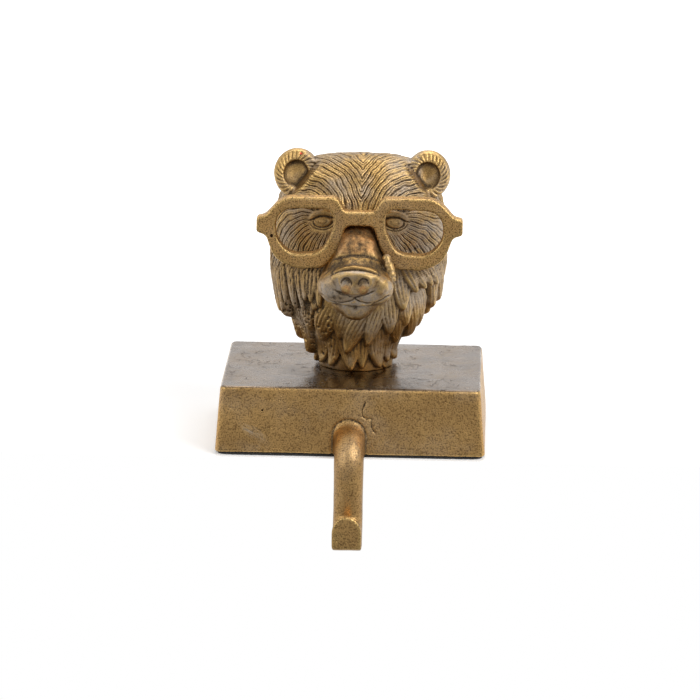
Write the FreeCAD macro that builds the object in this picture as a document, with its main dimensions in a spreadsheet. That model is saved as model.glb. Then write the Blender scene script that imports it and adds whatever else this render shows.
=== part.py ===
import FreeCAD, Part

import math
import os

import Mesh
import Sketcher

vec = FreeCAD.Vector
UP = vec(0, 0, 1)
FULL_TURN = 2 * math.pi

# Driving dimensions in millimetres and degrees: name, value, what it is
DIMENSIONS = [
    ("felt_thickness", 1.5, "felt under the block"),
    ("felt_margin", 0.6, "felt edge inside the block's edge"),
    ("base_width", 127.0, "block, left to right at its foot"),
    ("base_depth", 89.0, "block, front to back at its foot"),
    ("base_height", 31.4, "block without the felt"),
    ("base_draft", 4.5, "lean of the block's four sides"),
    ("corner_radius", 3.0, "upright corners of the block"),
    ("edge_bevel", 0.9, "rim of the block's top"),
    ("hook_width", 13.6, "hook, left to right"),
    ("hook_thickness", 13.6, "hook, flat back to crown of the front"),
    ("hook_knee_radius", 4.0, "flat back where it turns down past the shelf"),
    ("hook_knee_reach", 0.6, "straight run before the knee"),
    ("hook_shank", 20.5, "straight drop between the two bends"),
    ("hook_bend_radius", 15.4, "flat back round the lower bend"),
    ("hook_rise", 30.0, "slope of the tip above level"),
    ("hook_tip_reach", 28.6, "cut end of the tip ahead of the block's foot"),
    ("hook_root_depth", 9.0, "hook's start inside the block"),
    ("hook_root_flare", 2.6, "spread of the hook where it grows out of the block"),
    ("head_height", 102.4, "head from the block's top to the crown"),
    ("head_set_back", 4.5, "head's centre behind the block's centre"),
    ("head_offset", 0.9, "foot of the head to the right of centre"),
    ("head_lean", 1.0, "sideways lean of the head"),
    ("neck_width", 35.0, "foot of the neck, left to right"),
    ("neck_front", 15.6, "neck ahead of the head's centre"),
    ("neck_back", 17.0, "neck behind the head's centre"),
    ("jaw_width", 60.0, "beard at the jaw, left to right"),
    ("cheek_width", 80.0, "fur at the cheeks, left to right"),
    ("temple_width", 81.6, "head at the eyes, left to right"),
    ("crown_width", 58.0, "head between the ears, left to right"),
    ("face_front", 27.0, "face ahead of the head's centre"),
    ("skull_back", 34.0, "back of the skull behind the head's centre"),
    ("lock_relief", 5.2, "depth of the carved locks of the beard"),
    ("lock_pitch", 12.5, "height of one row of locks"),
    ("furrow_relief", 1.2, "depth of the furrows on the brow and the nape"),
    ("furrow_pitch", 13.0, "distance between two furrows"),
    ("muzzle_width", 36.0, "muzzle, left to right"),
    ("muzzle_reach", 51.5, "front of the muzzle ahead of the head's centre"),
    ("muzzle_top", 63.5, "top of the muzzle's front above the block"),
    ("muzzle_bottom", 40.5, "upper lip above the block"),
    ("bridge_height", 74.2, "root of the muzzle above the block"),
    ("bridge_width", 17.0, "root of the muzzle where the frame sits"),
    ("nose_width", 19.0, "nose pad, left to right"),
    ("nose_height", 15.5, "nose pad, top to bottom"),
    ("nose_drop", 3.2, "top of the nose pad below the top of the muzzle's front"),
    ("nose_proud", 2.2, "nose pad ahead of the muzzle"),
    ("nostril_spacing", 8.2, "centre to centre of the nostrils"),
    ("nostril_diameter", 4.8, "mouth of one nostril"),
    ("nostril_depth", 2.0, "depth of one nostril"),
    ("chin_width", 27.0, "chin, left to right"),
    ("chin_drop", 10.0, "chin below the upper lip"),
    ("chin_setback", 7.0, "chin behind the front of the muzzle"),
    ("ear_spacing", 63.4, "centre to centre of the ears"),
    ("ear_height", 93.5, "centre of the ears above the block"),
    ("ear_diameter", 21.5, "outside of one ear"),
    ("ear_dish_diameter", 11.5, "hollow of one ear"),
    ("ear_dish_depth", 3.4, "depth of the ear's hollow"),
    ("ear_thickness", 9.0, "ear, front to back"),
    ("ear_set_forward", 7.5, "rim of the ears ahead of the head's centre"),
    ("ear_ribs", 15, "ribs round the rim of one ear"),
    ("eye_spacing", 35.0, "centre to centre of the eyes"),
    ("eye_height", 74.8, "eyes above the block"),
    ("eye_width", 13.0, "lids of one eye, left to right"),
    ("frame_width", 96.4, "spectacles, left to right"),
    ("frame_thickness", 6.8, "spectacles, front to back"),
    ("frame_set_forward", 32.5, "front of the spectacles ahead of the head's centre"),
    ("frame_height", 72.0, "lens centres above the block"),
    ("frame_offset", 2.9, "middle of the spectacles to the right of centre"),
    ("frame_edge", 0.7, "softened edges of the spectacles"),
    ("frame_gap", 0.25, "room between the spectacles and the head"),
    ("lens_width", 27.0, "lens opening, left to right"),
    ("lens_height", 21.0, "lens opening, top to bottom"),
    ("lens_spacing", 51.8, "centre to centre of the lens openings"),
    ("rim_top", 5.6, "rim above the lens openings"),
    ("rim_bottom", 7.0, "rim below the lens openings"),
    ("bridge_thickness", 7.0, "bridge between the rims, top to bottom"),
    ("end_height", 7.2, "stub at each end of the frame, top to bottom"),
    ("screw_diameter", 6.0, "screw that holds the head"),
    ("screw_length", 38.0, "screw below its head"),
    ("screw_head_diameter", 10.0, "head of the screw"),
    ("screw_head_height", 6.0, "head of the screw"),
    ("screw_socket", 5.0, "six-sided socket, across its flats"),
    ("screw_room", 0.3, "free radius round the screw in the block"),
    ("thread_room", 0.08, "free radius round the screw in the neck"),
    ("counterbore_diameter", 12.0, "sink for the screw's head"),
    ("counterbore_depth", 8.0, "sink for the screw's head"),
]

doc = FreeCAD.newDocument("stocking_holder")
sheet = doc.addObject("Spreadsheet::Sheet", "sizes")
for row, (name, value, meaning) in enumerate(DIMENSIONS, start=1):
    sheet.set(f"A{row}", name)
    sheet.set(f"B{row}", str(value))
    sheet.setAlias(f"B{row}", name)
    sheet.set(f"C{row}", meaning)
doc.recompute()


def size(name):
    """The value of one cell of the sheet."""
    return float(sheet.get(name))


def bind(thing, **formulas):
    """Tie properties to the sheet: Length="base_height" or "base_height + 1"."""
    for key, formula in formulas.items():
        for name, _, _ in DIMENSIONS:
            formula = replace_word(formula, name)
        thing.setExpression(key, formula)


def replace_word(formula, name):
    words = formula.split(" ")
    return " ".join("sizes." + word if word == name else word for word in words)


def plane_of(body, role):
    """One of the body's own three origin planes."""
    return [p for p in body.Origin.OriginFeatures if p.Role == role][0]


def new_body(label):
    body = doc.addObject("PartDesign::Body", label)
    body.Label = label
    return body


def new_sketch(body, name, role, offset=None):
    """A sketch on an origin plane, lifted along its normal by a formula of the sheet."""
    sketch = body.newObject("Sketcher::SketchObject", name)
    sketch.AttachmentSupport = (plane_of(body, role), "")
    sketch.MapMode = "FlatFace"
    if offset:
        bind(sketch, **{"AttachmentOffset.Base.z": offset})
    return sketch


def add_line(sketch, start, end):
    return sketch.addGeometry(Part.LineSegment(vec(*start, 0), vec(*end, 0)), False)


def add_rectangle(sketch, width, depth):
    """A rectangle centred on the sketch's origin, its two sizes bound to formulas."""
    w, d = 30.0, 20.0
    corners = [(-w, -d), (w, -d), (w, d), (-w, d)]
    sides = [add_line(sketch, corners[i], corners[(i + 1) % 4]) for i in range(4)]
    for i, side in enumerate(sides):
        sketch.addConstraint(Sketcher.Constraint("Coincident", side, 2, sides[(i + 1) % 4], 1))
        sketch.addConstraint(Sketcher.Constraint("Vertical" if i % 2 else "Horizontal", side))
    sketch.addConstraint(Sketcher.Constraint("Symmetric", sides[0], 1, sides[1], 2, -1, 1))
    across = sketch.addConstraint(Sketcher.Constraint("DistanceX", sides[0], 1, sides[0], 2, 2 * w))
    along = sketch.addConstraint(Sketcher.Constraint("DistanceY", sides[1], 1, sides[1], 2, 2 * d))
    bind(sketch, **{f"Constraints[{across}]": width, f"Constraints[{along}]": depth})


def add_circle(sketch, diameter, centre_x="", centre_y=""):
    """A circle whose diameter and centre are bound to formulas."""
    circle = sketch.addGeometry(Part.Circle(vec(1, 1, 0), UP, 3.0), False)
    sized = sketch.addConstraint(Sketcher.Constraint("Diameter", circle, 6.0))
    right = sketch.addConstraint(Sketcher.Constraint("DistanceX", -1, 1, circle, 3, 1.0))
    back = sketch.addConstraint(Sketcher.Constraint("DistanceY", -1, 1, circle, 3, 1.0))
    places = {right: centre_x or "0", back: centre_y or "0"}
    bind(sketch, **{f"Constraints[{sized}]": diameter})
    bind(sketch, **{f"Constraints[{row}]": formula for row, formula in places.items()})


def add_rounded_outline(sketch, corners):
    """A closed outline through corners (x, y, radius), each corner a tangent arc."""
    arcs = []
    for i, (x, y, radius) in enumerate(corners):
        here = vec(x, y, 0)
        before = (vec(*corners[i - 1][:2], 0) - here).normalize()
        after = (vec(*corners[(i + 1) % len(corners)][:2], 0) - here).normalize()
        half = before.getAngle(after) / 2
        reach = radius / math.tan(half)
        middle = (before + after).normalize()
        centre = here + middle * (radius / math.sin(half))
        arcs.append((here + before * reach, centre - middle * radius, here + after * reach))
    for i, (start, crown, end) in enumerate(arcs):
        sketch.addGeometry(Part.Arc(start, crown, end), False)
        following = arcs[(i + 1) % len(arcs)][0]
        if (following - end).Length > 0.01:
            sketch.addGeometry(Part.LineSegment(end, following), False)


def pad(body, name, sketch, length, **formulas):
    feature = body.newObject("PartDesign::Pad", name)
    feature.Profile = sketch
    bind(feature, Length=length, **formulas)
    doc.recompute()
    return feature


def pocket(body, name, sketch, length=None, reverse=False, both_ways=False):
    """Cut a sketch out of the body, and make sure that it took something away."""
    before = body.Shape.Volume
    feature = body.newObject("PartDesign::Pocket", name)
    feature.Profile = sketch
    feature.Reversed = reverse
    feature.Midplane = both_ways
    if length:
        bind(feature, Length=length)
    else:
        feature.Type = "ThroughAll"
    doc.recompute()
    if body.Shape.Volume >= before - 1:
        raise RuntimeError(name + " cuts nothing")
    return feature


def round_edges(body, name, chosen, radius, kind="PartDesign::Fillet"):
    """Fillet or chamfer the tip's edges that a test picks."""
    base = body.Tip
    edges = [f"Edge{i}" for i, edge in enumerate(base.Shape.Edges, start=1) if chosen(edge)]
    feature = body.newObject(kind, name)
    feature.Base = (base, edges)
    bind(feature, **{"Radius" if kind.endswith("Fillet") else "Size": radius})
    doc.recompute()
    return feature


# Heights that the pieces share
top_of_block = size("felt_thickness") + size("base_height")
half_depth = size("base_depth") / 2


def screw_place():
    """Middle of the neck's foot, seen from above."""
    return size("head_offset"), size("head_set_back")


def make_base_with_hook():
    """One casting: a tapered block whose front grows a D-section hook."""
    body = new_body("base_with_hook")
    outline = new_sketch(body, "block_outline", "XY_Plane", "felt_thickness")
    add_rectangle(outline, "base_width", "base_depth")
    pad(body, "block", outline, "base_height")
    lean_sides(body)
    round_edges(body, "upright_corners", lambda e: e.BoundBox.ZLength > size("base_height") / 2,
                "corner_radius")
    round_edges(body, "top_rim", lambda e: e.BoundBox.ZMin > top_of_block - 0.1, "edge_bevel",
                "PartDesign::Chamfer")
    add_hook(body)
    sink = new_sketch(body, "sink_outline", "XY_Plane", "felt_thickness")
    add_circle(sink, "counterbore_diameter", "head_offset", "head_set_back")
    pocket(body, "counterbore", sink, "counterbore_depth", reverse=True)
    hole = new_sketch(body, "hole_outline", "XY_Plane", "felt_thickness")
    add_circle(hole, "screw_diameter + 2 * screw_room", "head_offset", "head_set_back")
    pocket(body, "screw_hole", hole, "base_height + 1", reverse=True)
    return body


def lean_sides(body):
    """Draft on the four sides, so that the block leaves its mould and narrows upwards."""
    block = body.Tip
    sides = [f"Face{i}" for i, face in enumerate(block.Shape.Faces, start=1)
             if face.BoundBox.ZLength > size("base_height") / 2]
    foot = [f"Face{i}" for i, face in enumerate(block.Shape.Faces, start=1)
            if face.BoundBox.ZMax < size("felt_thickness") + 0.1]
    draft = body.newObject("PartDesign::Draft", "leaning_sides")
    draft.Base = (block, sides)
    draft.NeutralPlane = (block, foot)
    bind(draft, Angle="base_draft")
    doc.recompute()
    if draft.Shape.Volume > block.Shape.Volume:
        draft.Reversed = True
        doc.recompute()


def hook_path():
    """The flat back of the hook as (y, z) edges: out of the block, down, forward and up."""
    knee = size("hook_knee_radius")
    bend = size("hook_bend_radius")
    rise = math.radians(size("hook_rise"))
    start = vec(size("hook_root_depth") - half_depth, size("felt_thickness"), 0)
    knee_start = vec(-half_depth - size("hook_knee_reach"), start.y, 0)
    knee_centre = knee_start + vec(0, -knee, 0)
    slant = math.sqrt(0.5)
    knee_middle = knee_centre + vec(-knee * slant, knee * slant, 0)
    knee_end = knee_centre + vec(-knee, 0, 0)
    bend_start = knee_end + vec(0, -size("hook_shank"), 0)
    bend_centre = bend_start + vec(-bend, 0, 0)
    half_sweep = (math.pi / 2 + rise) / 2
    bend_middle = bend_centre + vec(math.cos(half_sweep), -math.sin(half_sweep), 0) * bend
    bend_end = bend_centre + vec(-bend * math.sin(rise), -bend * math.cos(rise), 0)
    past_tip = size("hook_thickness") + size("hook_tip_reach") / 4
    tip = bend_end + vec(-math.cos(rise), math.sin(rise), 0) * past_tip
    return [
        Part.LineSegment(start, knee_start),
        Part.Arc(knee_start, knee_middle, knee_end),
        Part.LineSegment(knee_end, bend_start),
        Part.Arc(bend_start, bend_middle, bend_end),
        Part.LineSegment(bend_end, tip),
    ]


def add_d_section(body, name, ahead, grow=0.0):
    """The hook's section on an upright plane: flat foot, straight sides, half-round crown."""
    section = new_sketch(body, name, "XZ_Plane", f"base_depth / 2 + {ahead}")
    half = size("hook_width") / 2 + grow
    foot = size("felt_thickness")
    shoulder = foot + size("hook_thickness") - size("hook_width") / 2
    add_line(section, (-half, foot), (half, foot))
    add_line(section, (half, foot), (half, shoulder))
    crown = Part.Circle(vec(0, shoulder, 0), UP, half)
    section.addGeometry(Part.ArcOfCircle(crown, 0, math.pi), False)
    add_line(section, (-half, shoulder), (-half, foot))
    return section


def add_hook(body):
    """A D-section carried along the hook's path, flared at its root, its tip cut off upright."""
    path = new_sketch(body, "hook_path", "YZ_Plane")
    for edge in hook_path():
        path.addGeometry(edge, False)
    section = add_d_section(body, "hook_section", "-1 * hook_root_depth")
    doc.recompute()
    hook = body.newObject("PartDesign::AdditivePipe", "hook")
    hook.Profile = section
    hook.Spine = (path, [f"Edge{i}" for i in range(1, 6)])
    hook.Mode = "Frenet"
    doc.recompute()
    flare = size("hook_root_flare")
    steps = [("flare_wide", "-0.8 * hook_root_flare", 1.0), ("flare_middle", "0.15 * hook_root_flare", 0.3),
             ("flare_narrow", "hook_root_flare", 0.0)]
    sections = [add_d_section(body, name, ahead, grow * flare) for name, ahead, grow in steps]
    doc.recompute()
    root = body.newObject("PartDesign::AdditiveLoft", "root_flare")
    root.Profile = sections[0]
    root.Sections = sections[1:]
    doc.recompute()
    cut = new_sketch(body, "tip_cut_outline", "XZ_Plane", "base_depth / 2 + hook_tip_reach")
    add_rectangle(cut, "hook_width * 6", "base_depth * 4")
    pocket(body, "tip_cut", cut, reverse=True)


def make_felt_pad():
    """A thin rectangle of felt, glued under the block."""
    board = doc.addObject("Part::Box", "felt_board")
    bind(board, Length="base_width - 2 * felt_margin", Width="base_depth - 2 * felt_margin",
         Height="felt_thickness")
    bind(board, **{"Placement.Base.x": "felt_margin - base_width / 2",
                   "Placement.Base.y": "felt_margin - base_depth / 2"})
    doc.recompute()
    felt = doc.addObject("Part::Fillet", "felt_pad")
    felt.Base = board
    radius = size("corner_radius")
    felt.Edges = [(i, radius, radius) for i, edge in enumerate(board.Shape.Edges, start=1)
                  if abs(edge.tangentAt(edge.FirstParameter).z) > 0.5]
    felt.Label = "felt_pad"
    doc.recompute()
    return felt


def make_head_screw():
    """A socket-head screw that comes up through the block into the neck."""
    body = new_body("head_screw")
    seat = size("felt_thickness") + size("counterbore_depth")
    foot = seat - size("screw_head_height")
    tip = seat + size("screw_length")
    shank = size("screw_diameter") / 2
    head = size("screw_head_diameter") / 2
    bevel = shank / 4
    profile = new_sketch(body, "screw_profile", "XZ_Plane")
    corners = [(0, foot), (head, foot), (head, seat), (shank, seat), (shank, tip - bevel),
               (shank - bevel, tip), (0, tip)]
    for start, end in zip(corners, corners[1:] + corners[:1]):
        add_line(profile, start, end)
    turned = body.newObject("PartDesign::Revolution", "turned_shape")
    turned.Profile = profile
    turned.ReferenceAxis = (profile, ["V_Axis"])
    turned.Angle = 360
    doc.recompute()
    screw_foot = "felt_thickness + counterbore_depth - screw_head_height"
    socket = new_sketch(body, "socket_outline", "XY_Plane", screw_foot)
    reach = size("screw_socket") / 2 / math.cos(math.pi / 6)
    hexagon = [(reach * math.cos(k * FULL_TURN / 6), reach * math.sin(k * FULL_TURN / 6))
               for k in range(6)]
    for start, end in zip(hexagon, hexagon[1:] + hexagon[:1]):
        add_line(socket, start, end)
    pocket(body, "socket", socket, "screw_head_height / 2", reverse=True)
    bind(body, **{"Placement.Base.x": "head_offset", "Placement.Base.y": "head_set_back"})
    return body


def mirrored(corners):
    """A right-hand half outline, top first, made whole across the middle."""
    return corners + [(-x, y, radius) for x, y, radius in reversed(corners)]


def frame_corners():
    """Outer corners of the spectacles about the middle of the lens line."""
    half = size("frame_width") / 2
    lens_half = size("lens_height") / 2
    top = lens_half + size("rim_top")
    bottom = -lens_half - size("rim_bottom")
    inner = size("lens_spacing") / 2 - size("lens_width") / 2
    outer = size("lens_spacing") / 2 + size("lens_width") / 2
    bridge_top = lens_half - 1.0
    end_top = lens_half * 0.6
    end_foot = end_top - size("end_height")
    return mirrored([
        (inner * 0.55, bridge_top, 2.6),
        (inner * 0.85, top, 4.0),
        (outer - 3.2, top, 12.0),
        (outer + 4.8, end_top + 0.8, 5.0),
        (half, end_top, 1.6),
        (half, end_foot, 1.6),
        (outer + 4.2, end_foot - 1.5, 3.5),
        (outer + 0.2, bottom * 0.81, 12.0),
        (outer - 10.4, bottom * 1.05, 14.0),
        (inner + 3.2, bottom * 1.02, 9.0),
        (inner * 0.74, bottom * 0.42, 12.0),
        (inner * 0.53, bridge_top - size("bridge_thickness"), 3.0),
    ])


def lens_corners(side):
    """Corners of one lens opening, wider at the top and pulled in towards the nose."""
    middle = size("lens_spacing") / 2
    half = size("lens_width") / 2
    tall = size("lens_height") / 2
    corners = [(-1.01, 1.03, 5.0), (0.94, 0.99, 8.0), (1.01, -0.38, 12.0), (0.45, -1.08, 9.0),
               (-0.61, -1.0, 9.0), (-1.03, 0.1, 14.0)]
    return [(side * (middle + x * half), y * tall, radius) for x, y, radius in corners]


def make_spectacles():
    """A cast frame with two open lenses and a stub at each end."""
    body = new_body("spectacles")
    outline = new_sketch(body, "frame_outline", "XZ_Plane")
    add_rounded_outline(outline, frame_corners())
    pad(body, "frame", outline, "frame_thickness")
    openings = new_sketch(body, "lens_outlines", "XZ_Plane")
    for side in (-1, 1):
        add_rounded_outline(openings, lens_corners(side))
    pocket(body, "lens_openings", openings, "frame_thickness + 1", reverse=True)
    round_edges(body, "softened_edges", lambda e: e.BoundBox.YLength < 0.01, "frame_edge",
                "PartDesign::Chamfer")
    bind(body, **{
        "Placement.Base.x": "frame_offset",
        "Placement.Base.y": "head_set_back - frame_set_forward + frame_thickness",
        "Placement.Base.z": "felt_thickness + base_height + frame_height",
    })
    doc.recompute()
    return body


def along(stations, t):
    """A smooth curve through (t, value) stations, with the slope at each taken from its neighbours."""
    last = len(stations) - 1
    i = max(k for k in range(last) if t >= stations[k][0] or k == 0)
    (t0, v0), (t1, v1) = stations[i], stations[i + 1]
    before = stations[max(i - 1, 0)]
    after = stations[min(i + 2, last)]
    slope0 = (v1 - before[1]) / (t1 - before[0])
    slope1 = (after[1] - v0) / (after[0] - t0)
    u = (t - t0) / (t1 - t0)
    run = t1 - t0
    return ((1 + 2 * u) * (1 - u) ** 2 * v0 + u * (1 - u) ** 2 * run * slope0
            + u * u * (3 - 2 * u) * v1 + u * u * (u - 1) * run * slope1)


def closed_form(rings):
    """A solid of flat facets through rings of points, its two ends closed to their middles."""
    count = len(rings[0])
    facets = []
    for lower, upper in zip(rings, rings[1:]):
        for i in range(count):
            k = (i + 1) % count
            facets.append((lower[i], lower[k], upper[k]))
            facets.append((lower[i], upper[k], upper[i]))
    for ring, order in ((rings[0], -1), (rings[-1], 1)):
        middle = sum(ring, vec()) * (1 / count)
        for i in range(count):
            pair = (ring[i], ring[(i + 1) % count])[::order]
            facets.append((middle, *pair))
    skin = Part.Shape()
    skin.makeShapeFromMesh(Mesh.Mesh([tuple(map(tuple, facet)) for facet in facets]).Topology, 0.001)
    solid = Part.Solid(skin)
    if solid.Volume < 0:
        solid.reverse()
    return solid


def place_on_head(x, y, height):
    """A point of the head, given from its own middle, moved to its set and leaning place."""
    lean = math.tan(math.radians(size("head_lean"))) * height
    return vec(x + size("head_offset") + lean, y + size("head_set_back"), top_of_block + height)


def leaves_round():
    """How many locks stand side by side in one row."""
    return round(FULL_TURN / 2 * size("jaw_width") / size("lock_pitch")) + 4


def lock_shape(turn, height):
    """Height of the carved locks, 0 to 1: leaf shapes in rows that overlap like roof tiles.

    In each row a leaf hangs from its root, swells as it goes down and ends in a point. Every second
    row is shifted by half a leaf, and the highest leaf at a place is the one that shows.
    """
    pitch = size("lock_pitch")
    count = leaves_round()
    best = 0.0
    row = math.floor(height / pitch)
    for lift in (row - 1, row, row + 1):
        for side in (-1, 0, 1):
            leaf = math.floor(turn * count + 0.5 * (lift % 2)) + side + 0.5
            across = (turn * count + 0.5 * (lift % 2) - leaf) * 2 / 1.25
            stagger = 0.25 * math.sin(leaf * 2.4 + lift * 1.7)
            down = 1 - (height / pitch - lift + stagger) / 1.6
            if not 0 <= down <= 1:
                continue
            spread = math.sqrt(1 - down ** 3)
            if abs(across) < spread:
                best = max(best, (0.3 + 0.7 * down) * math.sqrt(1 - (across / spread) ** 2))
    return best


def relief(flat, turn, height):
    """Depth of carving outside the plain form: locks on the beard, furrows on brow and nape.

    The furrows on the brow and the crown are arcs about a point over each eye, and those of the
    nape run upright.
    """
    top = size("head_height")
    beard = min(max((0.52 * top - height) / (0.14 * top), 0), 1)
    foot = min(0.35 + height / (0.15 * top), 1)
    cut = size("lock_relief") * beard * foot * lock_shape(turn, height)
    across = abs(flat.x) - 0.62 * size("eye_spacing")
    arc = math.hypot(across, 0.8 * (flat.y + 0.67 * size("face_front")), height - 0.805 * top)
    upright = abs(turn - 0.5) * math.pi * size("cheek_width")
    over_brow = flat.y < 0.35 * size("skull_back") and height > 0.78 * top
    wave = math.cos((arc if over_brow else upright) * FULL_TURN / size("furrow_pitch"))
    fade = 1.0 if over_brow else min(max((flat.y + 4) / 6, 0), 1)
    return cut + size("furrow_relief") * fade * (1 - beard) * (0.5 + 0.5 * wave)


def head_skin():
    """The head without ears and muzzle: level rings whose width and depth follow smooth curves."""
    columns = 4 * leaves_round()
    rows = 36
    top = size("head_height")
    widths = [(0, size("neck_width") / 2), (0.1, size("neck_width") * 0.53),
              (0.28, size("jaw_width") / 2), (0.5, size("cheek_width") / 2),
              (0.68, size("temple_width") / 2), (0.8, size("temple_width") * 0.463),
              (0.88, size("crown_width") * 0.58), (0.94, size("crown_width") / 2),
              (0.985, size("crown_width") * 0.32), (1.0, 0.6)]
    fronts = [(0, size("neck_front")), (0.12, size("neck_front") * 1.2), (0.3, size("face_front") * 1.02),
              (0.5, size("face_front") * 1.0), (0.7, size("face_front") * 0.94),
              (0.82, size("face_front") * 0.84), (0.92, size("face_front") * 0.6),
              (0.985, size("face_front") * 0.3), (1.0, 0.6)]
    backs = [(0, size("neck_back")), (0.12, size("neck_back") * 1.05), (0.3, size("skull_back") * 0.68),
             (0.5, size("skull_back") * 0.92), (0.7, size("skull_back")),
             (0.85, size("skull_back") * 0.86), (0.94, size("skull_back") * 0.62),
             (0.985, size("skull_back") * 0.3), (1.0, 0.6)]
    rings = []
    for j in range(rows + 1):
        t = 1 - (1 - j / rows) ** 1.25
        ring = []
        for i in range(columns):
            turn = i / columns
            angle = turn * FULL_TURN
            depth = along(fronts, t) if math.cos(angle) > 0 else along(backs, t)
            flat = vec(math.sin(angle) * along(widths, t), -math.cos(angle) * depth, 0)
            out = 1 + relief(flat, turn, t * top) / max(flat.Length, 1)
            ring.append(place_on_head(flat.x * out, flat.y * out, t * top))
        rings.append(ring)
    return closed_form(rings)


def squarish_ring(count, half_width, low, high, y, narrowing=0.0, power=2.6):
    """A rounded box section across the muzzle, its upper part narrowed by a share."""
    ring = []
    for i in range(count):
        angle = -i * FULL_TURN / count
        c, s = math.cos(angle), math.sin(angle)
        x = math.copysign(abs(c) ** (2 / power), c) * half_width
        rise = math.copysign(abs(s) ** (2 / power), s)
        x *= 1 - narrowing * (1 + rise) / 2
        ring.append(place_on_head(x, y, (low + high) / 2 + rise * (high - low) / 2))
    return ring


def muzzle():
    """The muzzle, from its root under the spectacles to the blunt front."""
    reach = size("muzzle_reach")
    half = size("muzzle_width") / 2
    low, high = size("muzzle_bottom"), size("muzzle_top")
    root = size("bridge_height")
    waist = 1 - size("bridge_width") / size("muzzle_width")
    stations = [(0.36, 0.97, root, waist, 4.0), (0.54, 1.0, root, waist, 4.0),
                (0.67, 1.0, root - 3.0, waist * 0.9, 4.0), (0.74, 1.01, high + 4.5, waist * 0.7, 3.4),
                (0.8, 1.02, high + 1.0, waist * 0.4, 3.0), (0.88, 1.02, high - 0.5, waist * 0.3, 2.8),
                (0.945, 0.96, high - 2.5, waist * 0.3, 2.6), (0.985, 0.82, high - 4.5, waist * 0.2, 2.5),
                (1.0, 0.62, high - 7.0, 0.1, 2.4)]
    rings = []
    for share, width, rise, narrowing, power in stations:
        foot = low + 4.5 * max(share - 0.94, 0) / 0.06
        rings.append(squarish_ring(26, half * width, foot, rise, -share * reach, narrowing, power))
    return closed_form(rings)


def chin():
    """The lower jaw, a blunt form tucked under the muzzle."""
    half = size("chin_width") / 2
    lip = size("muzzle_bottom")
    front = size("muzzle_reach") - size("chin_setback")
    stations = [(0.4, 0.9, 1.0), (0.7, 1.0, 1.0), (0.86, 0.95, 0.9), (0.95, 0.78, 0.72), (1.0, 0.5, 0.4)]
    rings = []
    for share, width, drop in stations:
        rings.append(squarish_ring(20, 0.62 * half * width, lip - size("chin_drop") * drop, lip + 4.0,
                                   -share * front, -0.6, 2.2))
    return closed_form(rings)


def nose_pad():
    """The bare pad round the nostrils, proud of the muzzle's front."""
    half = size("nose_width") / 2
    front = size("muzzle_reach")
    high = size("muzzle_top") - size("nose_drop")
    low = high - size("nose_height")
    stations = [(-6.0, 1.0, 0.0), (-1.5, 0.98, 0.0), (0.6, 0.9, 0.6), (1.0, 0.74, 1.8)]
    rings = []
    for step, width, inset in stations:
        ahead = step * size("nose_proud") if step > 0 else step
        rings.append(squarish_ring(22, half * width, low + inset, high - inset, -front - ahead, -0.22, 2.3))
    return closed_form(rings)


def nostril(side):
    """A shallow pit, as a tool that is cut from the nose pad."""
    radius = size("nostril_diameter") / 2
    front = size("muzzle_reach") + size("nose_proud")
    height = size("muzzle_top") - size("nose_drop") - size("nose_height") * 0.58
    rings = []
    for back, share in ((size("nostril_depth"), 0.45), (size("nostril_depth") * 0.6, 0.85), (-1.0, 1.1)):
        rings.append([place_on_head(side * size("nostril_spacing") / 2 + radius * share * math.cos(a),
                                    -front + back, height + 1.3 * radius * share * math.sin(a))
                      for a in (-k * FULL_TURN / 12 for k in range(12))])
    return closed_form(rings)


def ear(side):
    """A cupped ear: a ribbed rim round a hollow, domed at the back."""
    outer = size("ear_diameter") / 2
    hollow = size("ear_dish_diameter") / 2
    deep = size("ear_dish_depth")
    thick = size("ear_thickness")
    rim = (outer - hollow) / 2
    ribs = round(size("ear_ribs"))
    profile = [(0.35 * outer, thick), (0.78 * outer, 0.86 * thick), (outer, 0.5 * thick),
               (outer - 0.3 * rim, 0.12 * thick), (hollow + 0.9 * rim, 0.0), (hollow, 0.12 * thick),
               (hollow * 0.85, deep), (hollow * 0.4, deep * 1.15)]
    rings = []
    for radius, back in profile:
        ring = []
        for k in range(2 * ribs):
            angle = -k * FULL_TURN / (2 * ribs)
            on_rim = radius > hollow and back < 0.6 * thick
            cut = 0.35 if on_rim and k % 2 else 0.0
            x = side * size("ear_spacing") / 2 + (radius - cut) * math.cos(angle)
            height = size("ear_height") + (radius - cut) * math.sin(angle)
            ring.append(place_on_head(x, back + cut - size("ear_set_forward"), height))
        rings.append(ring[::-1])
    return closed_form(rings)


def eye(side):
    """An eyeball in its lids, a flattened almond that stands out of the face."""
    half = size("eye_width") / 2
    middle = side * size("eye_spacing") / 2
    face = size("face_front") * 0.94
    drop = math.sqrt(1 - (size("eye_spacing") / size("temple_width")) ** 2)
    front = -face * drop
    rings = []
    for ahead, share in ((4.0, 1.15), (0.0, 1.05), (-1.2, 0.8), (-1.3, 0.62), (-2.2, 0.45), (-2.6, 0.2)):
        ring = []
        for k in range(14):
            angle = -k * FULL_TURN / 14
            across = math.cos(angle) * half * share
            up = math.sin(angle) * half * 0.62 * share * (1 - 0.25 * abs(math.cos(angle)))
            lean = side * across * 0.28
            ring.append(place_on_head(middle + across, front + ahead + lean, size("eye_height") + up))
        rings.append(ring)
    return closed_form(rings)


def frame_room(frame):
    """The spectacles' outline grown by the room that they need, as a cutter for the muzzle."""
    gap = size("frame_gap")
    outline = [s for s in doc.Objects if s.Label == "frame_outline"][0].Shape
    face = Part.Face(Part.Wire(Part.__sortEdges__(outline.Edges)))
    grown = face.makeOffset2D(gap)
    grown.translate(vec(0, gap, 0) + frame.Placement.Base)
    return grown.extrude(vec(0, -size("frame_thickness") - 2 * gap, 0))


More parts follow.
